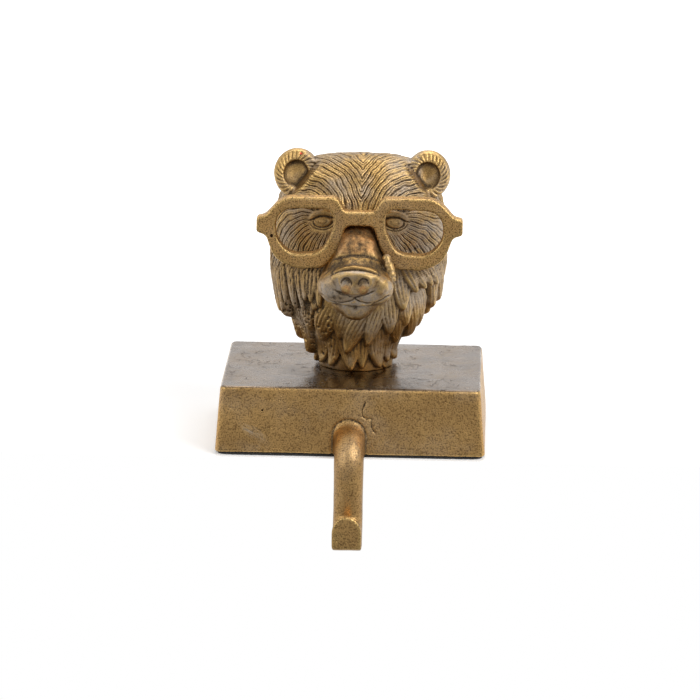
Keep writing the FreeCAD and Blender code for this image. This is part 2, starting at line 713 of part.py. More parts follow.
def make_bear_head(frame):
    """One casting: skull, beard, ears, eyes, muzzle and chin, with a blind hole for the screw."""
    snout = closed_union([muzzle(), chin(), nose_pad()])
    face_parts = [snout, ear(-1), ear(1), eye(-1), eye(1)]
    x, y = screw_place()
    seat = size("felt_thickness") + size("counterbore_depth")
    depth = seat + size("screw_length") + 2.0 - top_of_block
    hole = Part.makeCylinder(size("screw_diameter") / 2 + size("thread_room"), depth,
                             vec(x, y, top_of_block), UP)
    solid = head_skin().fuse(face_parts).cut([nostril(-1), nostril(1), hole, frame_room(frame)])
    head = doc.addObject("Part::Feature", "bear_head")
    head.Label = "bear_head"
    head.Shape = solid
    return head


def closed_union(solids):
    return solids[0].fuse(solids[1:])


def check_and_write(pieces):
    """Stop on any failed object or shape, then write one file for each piece."""
    doc.recompute()
    for thing in doc.Objects:
        if {"Invalid", "Error"} & set(thing.State):
            raise RuntimeError(f"{thing.Label} failed: {thing.State}")
    os.makedirs("parts", exist_ok=True)
    for piece in pieces:
        shape = piece.Shape
        if shape.isNull() or not shape.isValid() or len(shape.Solids) != 1:
            raise RuntimeError(f"{piece.Label} isn't one valid solid")
        shape.exportStep(f"parts/{piece.Label}.step")
        print(piece.Label, len(shape.Faces), "faces", round(shape.Volume / 1000, 2), "cm3")


base = make_base_with_hook()
felt = make_felt_pad()
screw = make_head_screw()
spectacles = make_spectacles()
bear_head = make_bear_head(spectacles)
check_and_write([base, felt, screw, spectacles, bear_head])
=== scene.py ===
"""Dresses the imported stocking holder: a cast bear's head in spectacles on a block with one hook."""

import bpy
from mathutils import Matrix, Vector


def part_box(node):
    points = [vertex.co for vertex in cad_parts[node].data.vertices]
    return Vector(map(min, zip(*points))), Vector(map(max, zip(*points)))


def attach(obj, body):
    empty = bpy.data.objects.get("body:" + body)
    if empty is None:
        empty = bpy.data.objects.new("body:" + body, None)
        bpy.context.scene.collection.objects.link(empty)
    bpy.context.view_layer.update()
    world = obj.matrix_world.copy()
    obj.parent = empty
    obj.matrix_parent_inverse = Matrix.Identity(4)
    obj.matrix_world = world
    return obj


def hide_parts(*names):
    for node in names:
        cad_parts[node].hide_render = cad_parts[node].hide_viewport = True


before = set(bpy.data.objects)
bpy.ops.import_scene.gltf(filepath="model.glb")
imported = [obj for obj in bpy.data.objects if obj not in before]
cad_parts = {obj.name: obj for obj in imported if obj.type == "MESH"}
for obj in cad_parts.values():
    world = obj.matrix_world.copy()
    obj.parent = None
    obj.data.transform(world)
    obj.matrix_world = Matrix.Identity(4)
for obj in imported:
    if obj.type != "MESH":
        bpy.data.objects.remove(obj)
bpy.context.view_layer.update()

import functools
import itertools
import math

import bpy
import numpy as np
from mathutils import Matrix

bl_info = {
    "name": "Bear Head Stocking Holder",
    "version": (1, 0, 0),
    "blender": (4, 5, 0),
    "location": "View3D > Sidebar > Stocking Holder",
    "description": "Builds a cast stocking holder: block with hook, bear's head, spectacles and felt",
    "category": "Object",
}

MM = 0.001
FULL_TURN = 2 * math.pi

# The head's foot on the block, its sideways lean and its height, in millimetres
FOOT = np.array([0.9, 4.5, 32.9])
LEAN = math.tan(math.radians(1.0))
HEAD_HEIGHT = 102.4

# Half widths, fronts and backs of the head over its height, as (share of the height, millimetres)
WIDTHS = [(0, 17.5), (0.1, 18.6), (0.28, 30.0), (0.5, 40.0), (0.68, 40.8), (0.8, 37.8),
          (0.88, 33.6), (0.94, 29.0), (0.985, 18.6), (1.0, 0.6)]
FRONTS = [(0, 15.6), (0.12, 18.7), (0.3, 27.5), (0.5, 27.0), (0.7, 25.4), (0.82, 22.7),
          (0.92, 16.2), (0.985, 8.1), (1.0, 0.6)]
BACKS = [(0, 17.0), (0.12, 17.9), (0.3, 23.1), (0.5, 31.3), (0.7, 34.0), (0.85, 29.2),
         (0.94, 21.1), (0.985, 10.2), (1.0, 0.6)]

# The muzzle's sections: share of its reach, half width, top, narrowing of its upper part, how boxy
MUZZLE = [(0.36, 17.4, 74.2, 0.53, 4.0), (0.54, 18.0, 74.2, 0.53, 4.0), (0.67, 18.0, 71.0, 0.52, 4.0),
          (0.74, 18.2, 68.4, 0.5, 4.2), (0.785, 18.3, 66.4, 0.47, 4.0), (0.82, 18.4, 63.9, 0.44, 3.2),
          (0.87, 16.6, 62.2, 0.36, 2.5), (0.91, 15.8, 60.8, 0.3, 2.4), (0.945, 15.2, 59.6, 0.26, 2.3),
          (0.97, 14.2, 58.4, 0.22, 2.2), (0.988, 12.6, 57.0, 0.18, 2.1), (1.0, 10.4, 55.4, 0.15, 2.0)]
MUZZLE_REACH = 51.5
UPPER_LIP = 40.5

# Places on the face as (across, height): the middle of an eye, the point that the strands below it
# spread from, the point over it that the furrows of the brow go round, and the one that the strands
# of the brow go round
EYE = (17.3, 74.4)
FAN = (10.6, 78.0)
BROW = (21.5, 83.0)
ARCS = (26.0, 76.5)

# The lines of the mouth and of the nose pad's edge, each as (across, height), one half of the face
LIP_LINE = [(0, 44.4), (2.2, 42.7), (5.5, 41.9), (9.5, 42.1), (12.5, 42.9), (15.5, 45.0)]
PAD_LINE = [(0, 44.9), (5.0, 46.5), (10.6, 49.2)]
NOSTRIL = (4.0, 51.9)

# How far the strands below an eye reach, and the head's mean radius, by which turns become lengths
FAN_REACH = 24.5
HEAD_RADIUS = 34

# Middles of the ears across and up the head, the setback of their rims and how far they lean back
EARS = {-1: -30.4, 1: 31.3}
EAR_HEIGHT = 93.4
EAR_PLANE = -6.6
EAR_LEAN = 0.42

# Locks of the beard that show from the front: root turn and height, tip turn and height, width,
# rise of the tip above the skin; turns are shares of a full turn round the head, 0 at its front
FRONT_LOCKS = [
    (-0.085, 45, -0.099, 31.6, 6.5, 3.4), (-0.050, 37, -0.114, 15, 11, 5.4),
    (-0.064, 22.5, -0.100, 2, 7.5, 3.6), (-0.036, 27, -0.012, 0.6, 11.5, 4.4),
    (0.030, 34, -0.031, 10, 10.5, 6.6), (-0.165, 36, -0.216, 5.5, 12, 7.6),
    (-0.205, 38, -0.250, 11, 12, 9.4), (-0.136, 18.5, -0.162, 2.4, 8, 2.2),
    (-0.120, 40, -0.150, 19, 9, 4), (0.060, 38, 0.036, 13.6, 8.5, 6),
    (0.066, 42, 0.100, 19.5, 9, 4.6), (0.068, 24, 0.102, 1.4, 9.5, 4),
    (0.100, 30, 0.145, 3.8, 9, 3.2), (0.132, 12, 0.145, 0.6, 7, 1.2),
    (0.026, 20.5, 0.030, 1.6, 6.5, 3), (0.096, 38, 0.145, 13.4, 9, 4.6),
    (0.101, 44, 0.145, 22.5, 8, 4.2), (0.078, 54, 0.112, 32, 8.5, 4.4),
    (0.117, 45, 0.218, 14.6, 10, 5.6), (0.125, 46, 0.230, 19, 8, 5.6),
    (-0.020, 34, -0.050, 17, 8, 3.6),
]

# Bunches of long narrow locks on the cheeks: how many, then the first and the last of them as in
# the list above; the ones between lie evenly between those two
BUNCHES = [
    (3, (-0.118, 57, -0.124, 31, 5, 4.6), (-0.168, 57, -0.184, 31.5, 6, 6.2)),
    (2, (-0.186, 59, -0.204, 25.5, 6.5, 8.6), (-0.200, 59, -0.224, 24.5, 7.5, 9.6)),
    (2, (-0.214, 59, -0.243, 21, 7.5, 10.4), (-0.240, 59, -0.270, 24, 8.5, 9)),
    (3, (-0.070, 56, -0.084, 33, 5, 4), (-0.102, 56, -0.112, 36, 5, 4.2)),
    (4, (0.076, 59, 0.130, 40, 6, 5.4), (0.112, 60, 0.178, 42, 6.5, 6.8)),
    (2, (0.160, 57, 0.222, 30.2, 7, 6.8), (0.176, 58, 0.243, 29.6, 7, 8)),
    (2, (0.204, 59, 0.252, 38, 7, 4.8), (0.222, 59, 0.280, 36, 8.5, 5)),
]

# Round lumps as x, y, z and radius in the shared frame: the cheeks beside the nose pad, and the
# braze that runs down beside the snout
CHEEKS = [(-7.2, -36.9, 81.2, 8.6), (10.8, -36.9, 81.2, 8.6)]
BRAZE = [(15.9, -32.6, 93.6, 2.0), (16.5, -33.4, 92.1, 1.8), (17.0, -34.1, 90.4, 2.5),
         (17.8, -34.8, 88.8, 2.3), (18.4, -35.6, 86.8, 2.0), (19.0, -36.2, 84.8, 1.6)]

# Rows of locks from the lowest up: how far from the front, as a share of a full turn, a row starts,
# and how far its tips stand out. Then the locks in a full row, the height from row to row, and the
# depth and pitch of the furrows.
LOCK_ROWS = [(0.16, 2.2), (0.18, 4.4), (0.235, 5.6), (0.285, 6.1)]
LOCKS_ROUND = 19
LOCK_ROW_HEIGHT = 12.5
FURROW_DEPTH = 1.2
FURROW_PITCH = 13.0

# The crooked line on the block's front as (x, z)
FLOW_LINE = [(7.2, 26.5), (5.7, 22.7), (6.1, 19.7), (7.9, 18.6), (10.2, 18.9), (10.0, 15.8),
             (10.9, 13.1), (12.0, 12.4)]

# Colours of single marks and of the lacquer on the block's top, beside those of FinishSettings
PALE_BRASS = (0.80, 0.465, 0.18)
SCRATCHED = (0.62, 0.5, 0.34)
SCRAPED = (0.78, 0.66, 0.5)
LACQUER = (0.15, 0.112, 0.084)
LACQUER_MARKS = (0.035, 0.022, 0.014)
RED_PAINT = (0.5, 0.05, 0.04)
PALE_FIBRES = (0.045, 0.042, 0.04)
WHITE = (1, 1, 1, 1)

# In metres: how far the edges of the pits wander, the shelf's front edge, and the camera's aim
PIT_JITTER = 0.0006
SHELF_EDGE = -0.0464
AIM = np.array([-0.00176, 0.0, 0.0404])

# A table of random numbers. Cells point at its first part, so that offsets can be added to them.
rng = np.random.default_rng(11)
RANDOM = rng.random(8192)
LAST_CELL = 4095
CELL_PRIMES = (73856093, 19349663, 83492791)


def colour_setting(name, told, default):
    return bpy.props.FloatVectorProperty(name=name, description=told, subtype="COLOR", default=default)


def number_setting(name, told, default, unit="LENGTH"):
    return bpy.props.FloatProperty(name=name, description=told, default=default, unit=unit)


class HeadSettings(bpy.types.PropertyGroup):
    """Sizes of the head's carving."""
    strand_pitch: number_setting(
        "Strand pitch", "Width of a carved pair of strands; the finish draws each of the two", 0.0023)
    strand_depth: number_setting("Strand depth", "Depth of the grooves between the strands", 0.0005)
    ear_ribs: bpy.props.IntProperty(
        name="Ear ribs", description="Ribs round the rim of one ear", default=27)
    grain: number_setting("Mesh grain", "Cell size of the carved mesh", 0.00042)


class FinishSettings(bpy.types.PropertyGroup):
    """Colours of the finishes, shared by the castings."""
    gold: colour_setting(
        "Rubbed gold", "Ridges and edges where the finish is rubbed bright", (0.64, 0.42, 0.16))
    brass: colour_setting("Aged brass", "Main colour of the cast metal", (0.33, 0.195, 0.07))
    copper: colour_setting("Copper tone", "Warm patches on the snout and in the nostrils", (0.62, 0.31, 0.13))
    # Also the colour of the head's painted shade.
    dark: colour_setting("Dark patina", "Stain that stays in the hollows", (0.03, 0.016, 0.007))
    # Also the colour of the head's painted grey sheen on its lit right side.
    bloom: colour_setting("Grey bloom", "Pale dull film on the cheeks and the snout", (0.47, 0.40, 0.33))
    felt: colour_setting("Felt", "Colour of the felt under the block", (0.012, 0.011, 0.011))


class StageSettings(bpy.types.PropertyGroup):
    """The camera and the shelf."""
    lens: number_setting("Lens", "Focal length of the camera in millimetres", 215.7, "NONE")
    distance: number_setting("Camera distance", "From the camera to the point that it looks at", 2.0)
    pitch: number_setting("Pitch", "How far the camera looks down", math.radians(15.02), "ROTATION")
    swing: number_setting(
        "Swing", "How far the camera stands to the right of the front", math.radians(1.92), "ROTATION")
    roll: number_setting(
        "Roll", "Tilt of the camera about its own line of sight", math.radians(0.64), "ROTATION")
    shelf_colour: colour_setting("Shelf", "Colour of the plain shelf", (0.86, 0.86, 0.86))


# Curves, noise and grids


def curve(stations, t):
    """Hermite curve through (place, value) stations, its slope at each taken from its neighbours."""
    places, values = np.array(stations, float).T
    last = len(places) - 1
    before = np.maximum(np.arange(last + 1) - 1, 0)
    after = np.minimum(np.arange(last + 1) + 1, last)
    slope = (values[after] - values[before]) / (places[after] - places[before])
    i = np.clip(np.searchsorted(places, t, side="right") - 1, 0, last - 1)
    run = places[i + 1] - places[i]
    u = (t - places[i]) / run
    return ((1 + 2 * u) * (1 - u) ** 2 * values[i] + u * (1 - u) ** 2 * run * slope[i]
            + u * u * (3 - 2 * u) * values[i + 1] + u * u * (u - 1) * run * slope[i + 1])


def ease(low, high, value):
    """0 below low, 1 above high, and the cubic 3s^2 - 2s^3 between them."""
    s = np.clip((value - low) / (high - low), 0, 1)
    return s * s * (3 - 2 * s)


def bell(value, width):
    """1 at 0 and less on both sides: exp(-(value / width)^2)."""
    return np.exp(-(value / width) ** 2)


def signed_power(value, power):
    return np.sign(value) * np.abs(value) ** power


def circle(count):
    """Angles at even steps round a full turn, as one row."""
    return np.linspace(0, FULL_TURN, count, endpoint=False)[None, :]


def scatter(cells, seed):
    """An index into the random table for each whole-numbered cell (x, y, z)."""
    x, y, z = (cells[..., k] * prime for k, prime in enumerate(CELL_PRIMES))
    return (((x ^ y ^ z) + seed * 7919) >> 5) & LAST_CELL


def noise(points, scale, seed=0):
    """Smooth random field, -1 to 1: random values at the corners of cubes, eased between them."""
    place = points / scale + 31.7
    cell = np.floor(place).astype(np.int64)
    part = place - cell
    part = part * part * (3 - 2 * part)
    total = np.zeros(points.shape[:-1])
    for corner in itertools.product((0, 1), repeat=3):
        weight = np.prod(np.where(corner, part, 1 - part), axis=-1)
        total += weight * RANDOM[scatter(cell + corner, seed)]
    return 2 * total - 1


def pores(points, spacing, radius, share, seed=0):
    """Depth 0 to 1 of round pits: 1 - (distance / radius)^2 about one random point in each cube."""
    cell = np.floor(points / spacing).astype(np.int64)
    deepest = np.zeros(points.shape[:-1])
    for step in itertools.product((-1, 0, 1), repeat=3):
        index = scatter(cell + step, seed)
        offset = np.stack([RANDOM[index + k] for k in (11, 222, 3333)], -1)
        distance = np.linalg.norm(points - (cell + step + offset) * spacing, axis=-1)
        size = radius * (0.5 + RANDOM[index + 77])
        pit = np.clip(1 - (distance / size) ** 2, 0, 1) * (RANDOM[index + 444] < share)
        deepest = np.maximum(deepest, pit)
    return deepest


def on_head(x, y, height):
    """Points given from the head's own middle, moved to its set and leaning place."""
    x, y, height = np.broadcast_arrays(x, y, height)
    return np.stack([x + LEAN * height, y, height], -1) + FOOT


def from_head(points):
    """The other way round: x, y and height of points from the head's own middle."""
    x, y, height = (points - FOOT).T
    return x - LEAN * height, y, height


def skin(turn, height, out=0.0):
    """Level ellipses round the head, their half width and depth curves over the height."""
    share = np.clip(height / HEAD_HEIGHT, 0, 1)
    angle = turn * FULL_TURN
    half = curve(WIDTHS, share)
    deep = np.where(np.cos(angle) > 0, curve(FRONTS, share), curve(BACKS, share))
    side, ahead = np.sin(angle) / half, -np.cos(angle) / deep
    steep = np.hypot(side, ahead)
    return on_head(np.sin(angle) * half + side / steep * out, -np.cos(angle) * deep + ahead / steep * out, height)


def closed_form(rings):
    """Vertices and triangles of a grid of rings (ring, place, xyz), both ends closed to their middles."""
    count, around = rings.shape[:2]
    at = np.arange(count * around).reshape(count, around)
    along = np.roll(at, -1, 1)
    a, b, c, d = at[:-1], along[:-1], along[1:], at[1:]
    first, last = count * around, count * around + 1
    triangles = np.concatenate([
        np.stack([a, b, c], -1).reshape(-1, 3), np.stack([a, c, d], -1).reshape(-1, 3),
        np.stack([np.full(around, first), along[0], at[0]], -1),
        np.stack([np.full(around, last), at[-1], along[-1]], -1)])
    points = np.vstack([rings.reshape(-1, 3), rings[0].mean(0), rings[-1].mean(0)])
    middle = points - points.mean(0)
    corners = middle[triangles]
    volume = np.einsum("ij,ij->", corners[:, 0], np.cross(corners[:, 1], corners[:, 2]))
    return points, triangles if volume > 0 else triangles[:, ::-1]


def joined(forms):
    """Several forms as one list of vertices and one of triangles."""
    offsets = np.cumsum([0] + [len(points) for points, _ in forms[:-1]])
    return (np.vstack([points for points, _ in forms]),
            np.vstack([triangles + offset for (_, triangles), offset in zip(forms, offsets)]))


def in_scene(name, data):
    thing = bpy.data.objects.new(name, data)
    bpy.context.scene.collection.objects.link(thing)
    return thing


def new_object(name, points, triangles):
    """An object at the origin with a mesh given in millimetres."""
    mesh = bpy.data.meshes.new(name)
    mesh.from_pydata((points * MM).tolist(), [], triangles.tolist())
    mesh.update()
    return in_scene(name, mesh)


def settle(thing):
    """Swap an object's mesh for what its modifiers make of it, and drop the modifiers."""
    graph = bpy.context.evaluated_depsgraph_get()
    made = bpy.data.meshes.new_from_object(thing.evaluated_get(graph))
    made.name = thing.name
    thing.modifiers.clear()
    thing.data = made


def fuse(thing, cell, rounds):
    """One closed skin round all that the object holds, on cubes of one size, and then smoothed."""
    remesh = thing.modifiers.new("one skin", "REMESH")
    remesh.mode = "VOXEL"
    remesh.voxel_size = cell * MM
    smooth = thing.modifiers.new("smooth", "SMOOTH")
    smooth.factor = 0.5
    smooth.iterations = rounds
    settle(thing)


def thin_out(thing, most):
    """Collapse edges where the surface is flattest until at most so many triangles are left."""
    thing.data.calc_loop_triangles()
    count = len(thing.data.loop_triangles)
    if count > most:
        collapse = thing.modifiers.new("fewer faces", "DECIMATE")
        collapse.ratio = most / count
        collapse.use_collapse_triangulate = True
        settle(thing)
    thing.data.shade_smooth()


def values_of(collection, field, width, kind=np.float32):
    """One field of all members of a collection, as rows of so many values."""
    values = np.empty((len(collection), width), kind)
    collection.foreach_get(field, values.ravel())
    return values


def points_of(thing):
    """Vertices in millimetres, vertex normals and edges of an object's mesh."""
    mesh = thing.data
    points, normals = (values_of(mesh.vertices, field, 3).astype(float) for field in ("co", "normal"))
    return points / MM, normals, values_of(mesh.edges, "vertices", 2, np.int32)


def put_points(thing, points):
    thing.data.vertices.foreach_set("co", (points * MM).astype(np.float32).ravel())
    thing.data.update()


def keep(thing, name, values):
    """Keep one number per vertex in an attribute that the finish reads."""
    layer = thing.data.attributes.get(name) or thing.data.attributes.new(name, "FLOAT", "POINT")
    layer.data.foreach_set("value", values.astype(np.float32))


def spread(values, edges, rounds):
    """Each vertex takes the mean of its neighbours, so many times over."""
    count = np.bincount(edges.ravel(), minlength=len(values))[:, None]
    for _ in range(rounds):
        total = np.stack([np.bincount(edges[:, 0], column[edges[:, 1]], len(values))
                          + np.bincount(edges[:, 1], column[edges[:, 0]], len(values))
                          for column in values.T], -1)
        values = total / np.maximum(count, 1)
    return values


def keep_hollows(thing, cell):
    """Keep in an attribute the hollowness of the mesh at each vertex: 0.5 flat, 1 in a recess, 0 on a ridge; on the
    head, painted shade is added to it afterwards.

    Hollowness is how far the mean of the neighbourhood lies out along the normal, taken over about
    1 mm and again over about 3 mm.
    """
    points, normals, edges = points_of(thing)
    near = spread(points, edges, round(1.3 / cell ** 2))
    wide = spread(near, edges, round(7.0 / cell ** 2))
    fine = ((near - points) * normals).sum(1) / 0.22
    broad = ((wide - points) * normals).sum(1) / 1.3
    keep(thing, "hollow", np.clip(0.5 + 0.5 * np.tanh(0.75 * fine + 0.55 * broad), 0, 1))


def seen_height(x, y, height):
    """Height on the snout as the camera sees it, looking down by 15 degrees: its cosine and sine
    times height and y, with the round of the front taken off."""
    return 0.966 * height + 0.259 * y + 0.018 * x * x


def keep_tones(thing):
    """Keep in attributes where the metal is coppery, on the bridge of the nose and in the nostrils,
    and where a pale grey film lies: real bloom on the cheeks, the front of the snout and the chin,
    with a painted grey sheen where the light falls, much stronger on the right cheek, and only
    painted sheen on the right brow and behind the right lens. Painted shade under the spectacles,
    round the eyes, beside the nose pad and on the left cheek away from the light, with random
    stains on the snout, is added to the hollowness, so that the finish darkens it like patina."""
    points, _, _ = points_of(thing)
    x, y, height = from_head(points)
    across = np.abs(x)
    seen = seen_height(x, y, height)
    from_eye = np.hypot(across - EYE[0], height - EYE[1])
    bridge = 0.6 * ease(-28, -32, y) * ease(62.5, 65.5, height) * ease(12.5, 10, across)
    nostrils = ease(-48, -50, y) * ease(3.0, 1.4, np.hypot((across - NOSTRIL[0]) / 0.9, height - 49.2))
    # Cheek film: real grey bloom, and a painted grey sheen in the stronger share on the right, where the light
    # falls.
    cheeks = ease(27, 36, height) * ease(64, 58, height) * ease(14, 20, across) * np.where(x > 0, 0.78, 0.2)
    snout = ease(-42, -46, y) * ease(31, 35, height) * 0.9 * ease(44, 42.5, seen)
    # Painted grey sheen where the light falls on the right brow and behind the right lens.
    brow = ease(8, 20, x) * ease(30, 26, x) * ease(58, 62, height) * ease(12, 0, y) * 0.85
    lens = ease(16, 24, x) * ease(56, 60, height) * ease(76, 72, height) * ease(6, -2, y) * 0.85
    film_and_sheen = np.maximum.reduce([cheeks, snout, brow, lens]) * (1 - nostrils) * (1 - 0.7 * ease(7, 4, from_eye))
    film_and_sheen = film_and_sheen * (0.75 + 0.5 * noise(points, 6, 31) + 0.3 * noise(points, 2.2, 32))
    # Painted shade: the band across the snout and the top of the bridge under the spectacles, round the eyes, the
    # nose pad's shadow at the left mouth corner, and the left cheek away from the light; the blotches are real
    # random stains.
    band = ease(-34, -38, y) * ease(42.8, 44.2, seen) * ease(52, 50, seen) * ease(15, 12, across)
    bridge_top = 0.8 * ease(-28, -32, y) * ease(61, 63, height)
    eyes = 0.7 * ease(5.5, 3.0, from_eye - 1.0) * ease(-5, -9, y)
    mouth_corner = 0.9 * ease(3.4, 0.6, np.hypot((x + 9.0) / 2.1, height - 45.6)) * ease(-38, -42, y)
    blotches = 0.45 * ease(0.15, 0.6, noise(points, 3.2, 41)) * ease(-36, -40, y)
    left_cheek = ease(8, 20, -x) * ease(62, 55, height) * ease(20, 28, height) * 0.6
    # Painted shade together with real stains, added to the hollowness below so that they darken like patina.
    painted_shade_and_stains = np.maximum.reduce([band, bridge_top, eyes, mouth_corner, blotches, left_cheek])
    hollow = values_of(thing.data.attributes["hollow"].data, "value", 1)[:, 0]
    for name, values in (("hollow", hollow + 0.32 * painted_shade_and_stains), ("copper", np.maximum(bridge, nostrils)),
                         ("film_and_sheen", film_and_sheen)):
        keep(thing, name, np.clip(values, 0, 1))


# The head's forms


def furrows(turn, height):
    """Broad furrows outside the plain skin: arcs round the brow points, upright ones on the nape."""
    place = skin(turn, height) - FOOT
    x, y = place[..., 0] - LEAN * height, place[..., 1]
    arcs = np.sqrt((np.abs(x) - BROW[0]) ** 2 + (0.8 * (y + 18.1)) ** 2 + (height - BROW[1]) ** 2)
    upright = (0.5 - np.abs(turn)) * math.pi * 80
    brow = (y < 11.9) & (height > 79.9)
    wave = 0.5 + 0.5 * np.cos(np.where(brow, arcs, upright) * FULL_TURN / FURROW_PITCH)
    beard = np.clip((53.2 - height) / 14.3, 0, 1)
    return FURROW_DEPTH * np.where(brow, 1, np.clip((y + 4) / 6, 0, 1)) * (1 - beard) * wave


def head_skin():
    """The plain head with its furrows: rings of the skin, closer together towards the crown."""
    height, turn = np.broadcast_arrays((1 - (1 - np.linspace(0, 1, 161)[:, None]) ** 1.25) * HEAD_HEIGHT,
                                       np.linspace(-0.5, 0.5, 240, endpoint=False)[None, :])
    return closed_form(skin(turn, height, furrows(turn, height)))


def boxy_ring(half, low, high, narrowing, power, around=80, waist=-0.8):
    """Across and height of rounded box sections: signed powers of cosine and sine, narrower above
    the waist."""
    across = signed_power(np.cos(circle(around)), 2 / power) * half
    rise = signed_power(np.sin(circle(around)), 2 / power)
    return across * (1 - narrowing * ease(waist, 0.9, rise)), (low + high) / 2 + rise * (high - low) / 2


def muzzle():
    """Boxy sections whose width, top and narrowing follow curves from the root to the front."""
    table = np.array(MUZZLE)
    start = table[0, 0]
    share = (1 - (1 - np.linspace(0, 1, 81)) ** 1.6) * (1 - start) + start
    half, top, narrow, power = (curve(table[:, [0, k]], share)[:, None] for k in range(1, 5))
    foot = UPPER_LIP + 75 * np.maximum(share - 0.94, 0)[:, None]
    waist = -0.8 + 0.85 * ease(0.8, 0.9, share)[:, None]
    across, height = boxy_ring(half, foot, top, narrow, power, 120, waist)
    return closed_form(on_head(across, -share[:, None] * MUZZLE_REACH, height))


def chin():
    """The lower jaw: sections that narrow to the foot like a V, blunt in front."""
    share = (1 - (1 - np.linspace(0, 1, 41)) ** 1.8)[:, None] * 0.6 + 0.4
    half = 8.0 * curve([(0.4, 0.95), (0.7, 1.0), (0.86, 0.96), (0.95, 0.8), (1.0, 0.5)], share)
    drop = 9.6 * curve([(0.4, 1.1), (0.7, 1.05), (0.86, 0.95), (0.95, 0.76), (1.0, 0.4)], share)
    across, height = boxy_ring(half, UPPER_LIP - drop, 44.5, -0.75, 2.1)
    return closed_form(on_head(across, -share * 45.5, height))


def nose_pad():
    """The bare pad round the nostrils, wide at its top and narrow at its foot, its front rounded."""
    step = np.linspace(-6.0, 2.2, 33)[:, None]
    inset = 3.2 * ease(-1.6, 2.2, step) ** 1.6
    across, height = boxy_ring(8.6 - 0.8 * inset, 44.2 + inset, 60.0 - inset, -0.4, 2.6)
    return closed_form(on_head(across, -MUZZLE_REACH - step, height))


def ear(side):
    """A cup: a profile of radius and setback turned round the ear's middle, leaning back at its top."""
    profile = np.array([(3.8, 9.0), (8.4, 7.7), (10.75, 4.5), (10.4, 1.2), (9.4, 0.1), (7.4, 0.0),
                        (6.2, 0.4), (5.7, 2.2), (2.6, 3.6)])
    steps = np.linspace(0, len(profile) - 1, 49)
    radius, back = (curve(list(enumerate(column)), steps)[:, None] for column in profile.T)
    across, rise = EARS[side] + radius * np.cos(circle(96)), radius * np.sin(circle(96))
    return closed_form(on_head(across, back + EAR_PLANE + EAR_LEAN * rise, EAR_HEIGHT + rise))


def lock(root_turn, root_height, tip_turn, tip_height, width, rise):
    """One lock of the beard: a leaf along a line on the skin, its pointed tip standing proud.

    The width swells to the middle and then runs out to a point. The crown over the width is
    sqrt(1 - v^2), and grooves about 1.7 mm apart run along it and draw together at the tip.
    """
    u = np.linspace(0, 1, 40)[:, None]
    angle = circle(72)
    around = 0.5 * (root_height + tip_height) / HEAD_HEIGHT
    round_head = FULL_TURN * (0.5 * (curve(WIDTHS, around) + curve(FRONTS, around)) + 0.5 * rise)
    run = np.array([(tip_turn - root_turn) * round_head, tip_height - root_height])
    length = np.hypot(*run)
    along = run / length
    v = np.cos(angle)
    half = width / 2 * curve([(0, 0.6), (0.3, 0.95), (0.5, 1.0), (0.75, 0.74), (0.92, 0.36), (1, 0.07)], u)
    top = (0.04 + 0.96 * u ** 1.3) * rise + 0.7
    grooves = max(2, round(width / 1.7))
    groove = 0.75 * (0.5 - 0.5 * np.cos(FULL_TURN * (grooves * (v + 1) / 2 + 0.5 * (grooves % 2)))) ** 2
    outer = top * (0.55 + 0.45 * np.sqrt(np.clip(1 - v * v, 0, 1))) - groove * ease(0.02, 0.25, u)
    out = np.where(np.sin(angle) >= 0, outer * np.clip(np.sin(angle) * 4, 0, 1),
                   -3.0 * np.clip(-np.sin(angle) * 3, 0, 1))
    out = out * np.sqrt(np.clip(1 - (u - 0.01) ** 24, 0.03, 1))
    turn = root_turn + (u * run[0] - along[1] * v * half) / round_head
    height = root_height + u * run[1] + along[0] * v * half
    return closed_form(skin(turn, np.clip(height, 0.4, HEAD_HEIGHT), out))


def bunches_of_locks():
    """The long narrow locks of the cheeks, evenly between the first and the last of each bunch."""
    made = []
    for count, first, last in BUNCHES:
        for share in np.linspace(0, 1, count):
            values = np.array(first) * (1 - share) + np.array(last) * share
            values += rng.uniform(-1, 1, 6) * (0.002, 1.0, 0.004, 1.6, 0.5, 0.5)
            made.append(lock(*values))
    return made


def rows_of_locks():
    """Rows of leaves round the sides and the back, every second row moved by half a leaf."""
    made = []
    for row, (start, rise) in enumerate(LOCK_ROWS):
        for leaf in range(LOCKS_ROUND):
            turn = (leaf + 0.5 + 0.5 * (row % 2)) / LOCKS_ROUND
            turn = turn - 1 if turn > 0.5 else turn
            jitter = rng.uniform(-1, 1, 4)
            if abs(turn) < start:
                continue
            tip = row * LOCK_ROW_HEIGHT + 2.4 + 2.4 * jitter[0]
            made.append(lock(turn, min(tip + 19.0 + jitter[1], 58), turn + 0.012 * jitter[2], tip,
                             11.0 + jitter[3], rise + 0.5 * jitter[1]))
    return made


def blobs(places):
    """Round lumps: spheres given by middle and radius."""
    angle = circle(60)
    slope = np.linspace(-1.52, 1.52, 30)[:, None]
    level = np.ones_like(angle)
    unit = np.stack([np.cos(slope) * np.cos(angle), np.cos(slope) * np.sin(angle), np.sin(slope) * level], -1)
    return [closed_form(unit * radius + np.array([x, y, z])) for x, y, z, radius in places]


# The head's carving


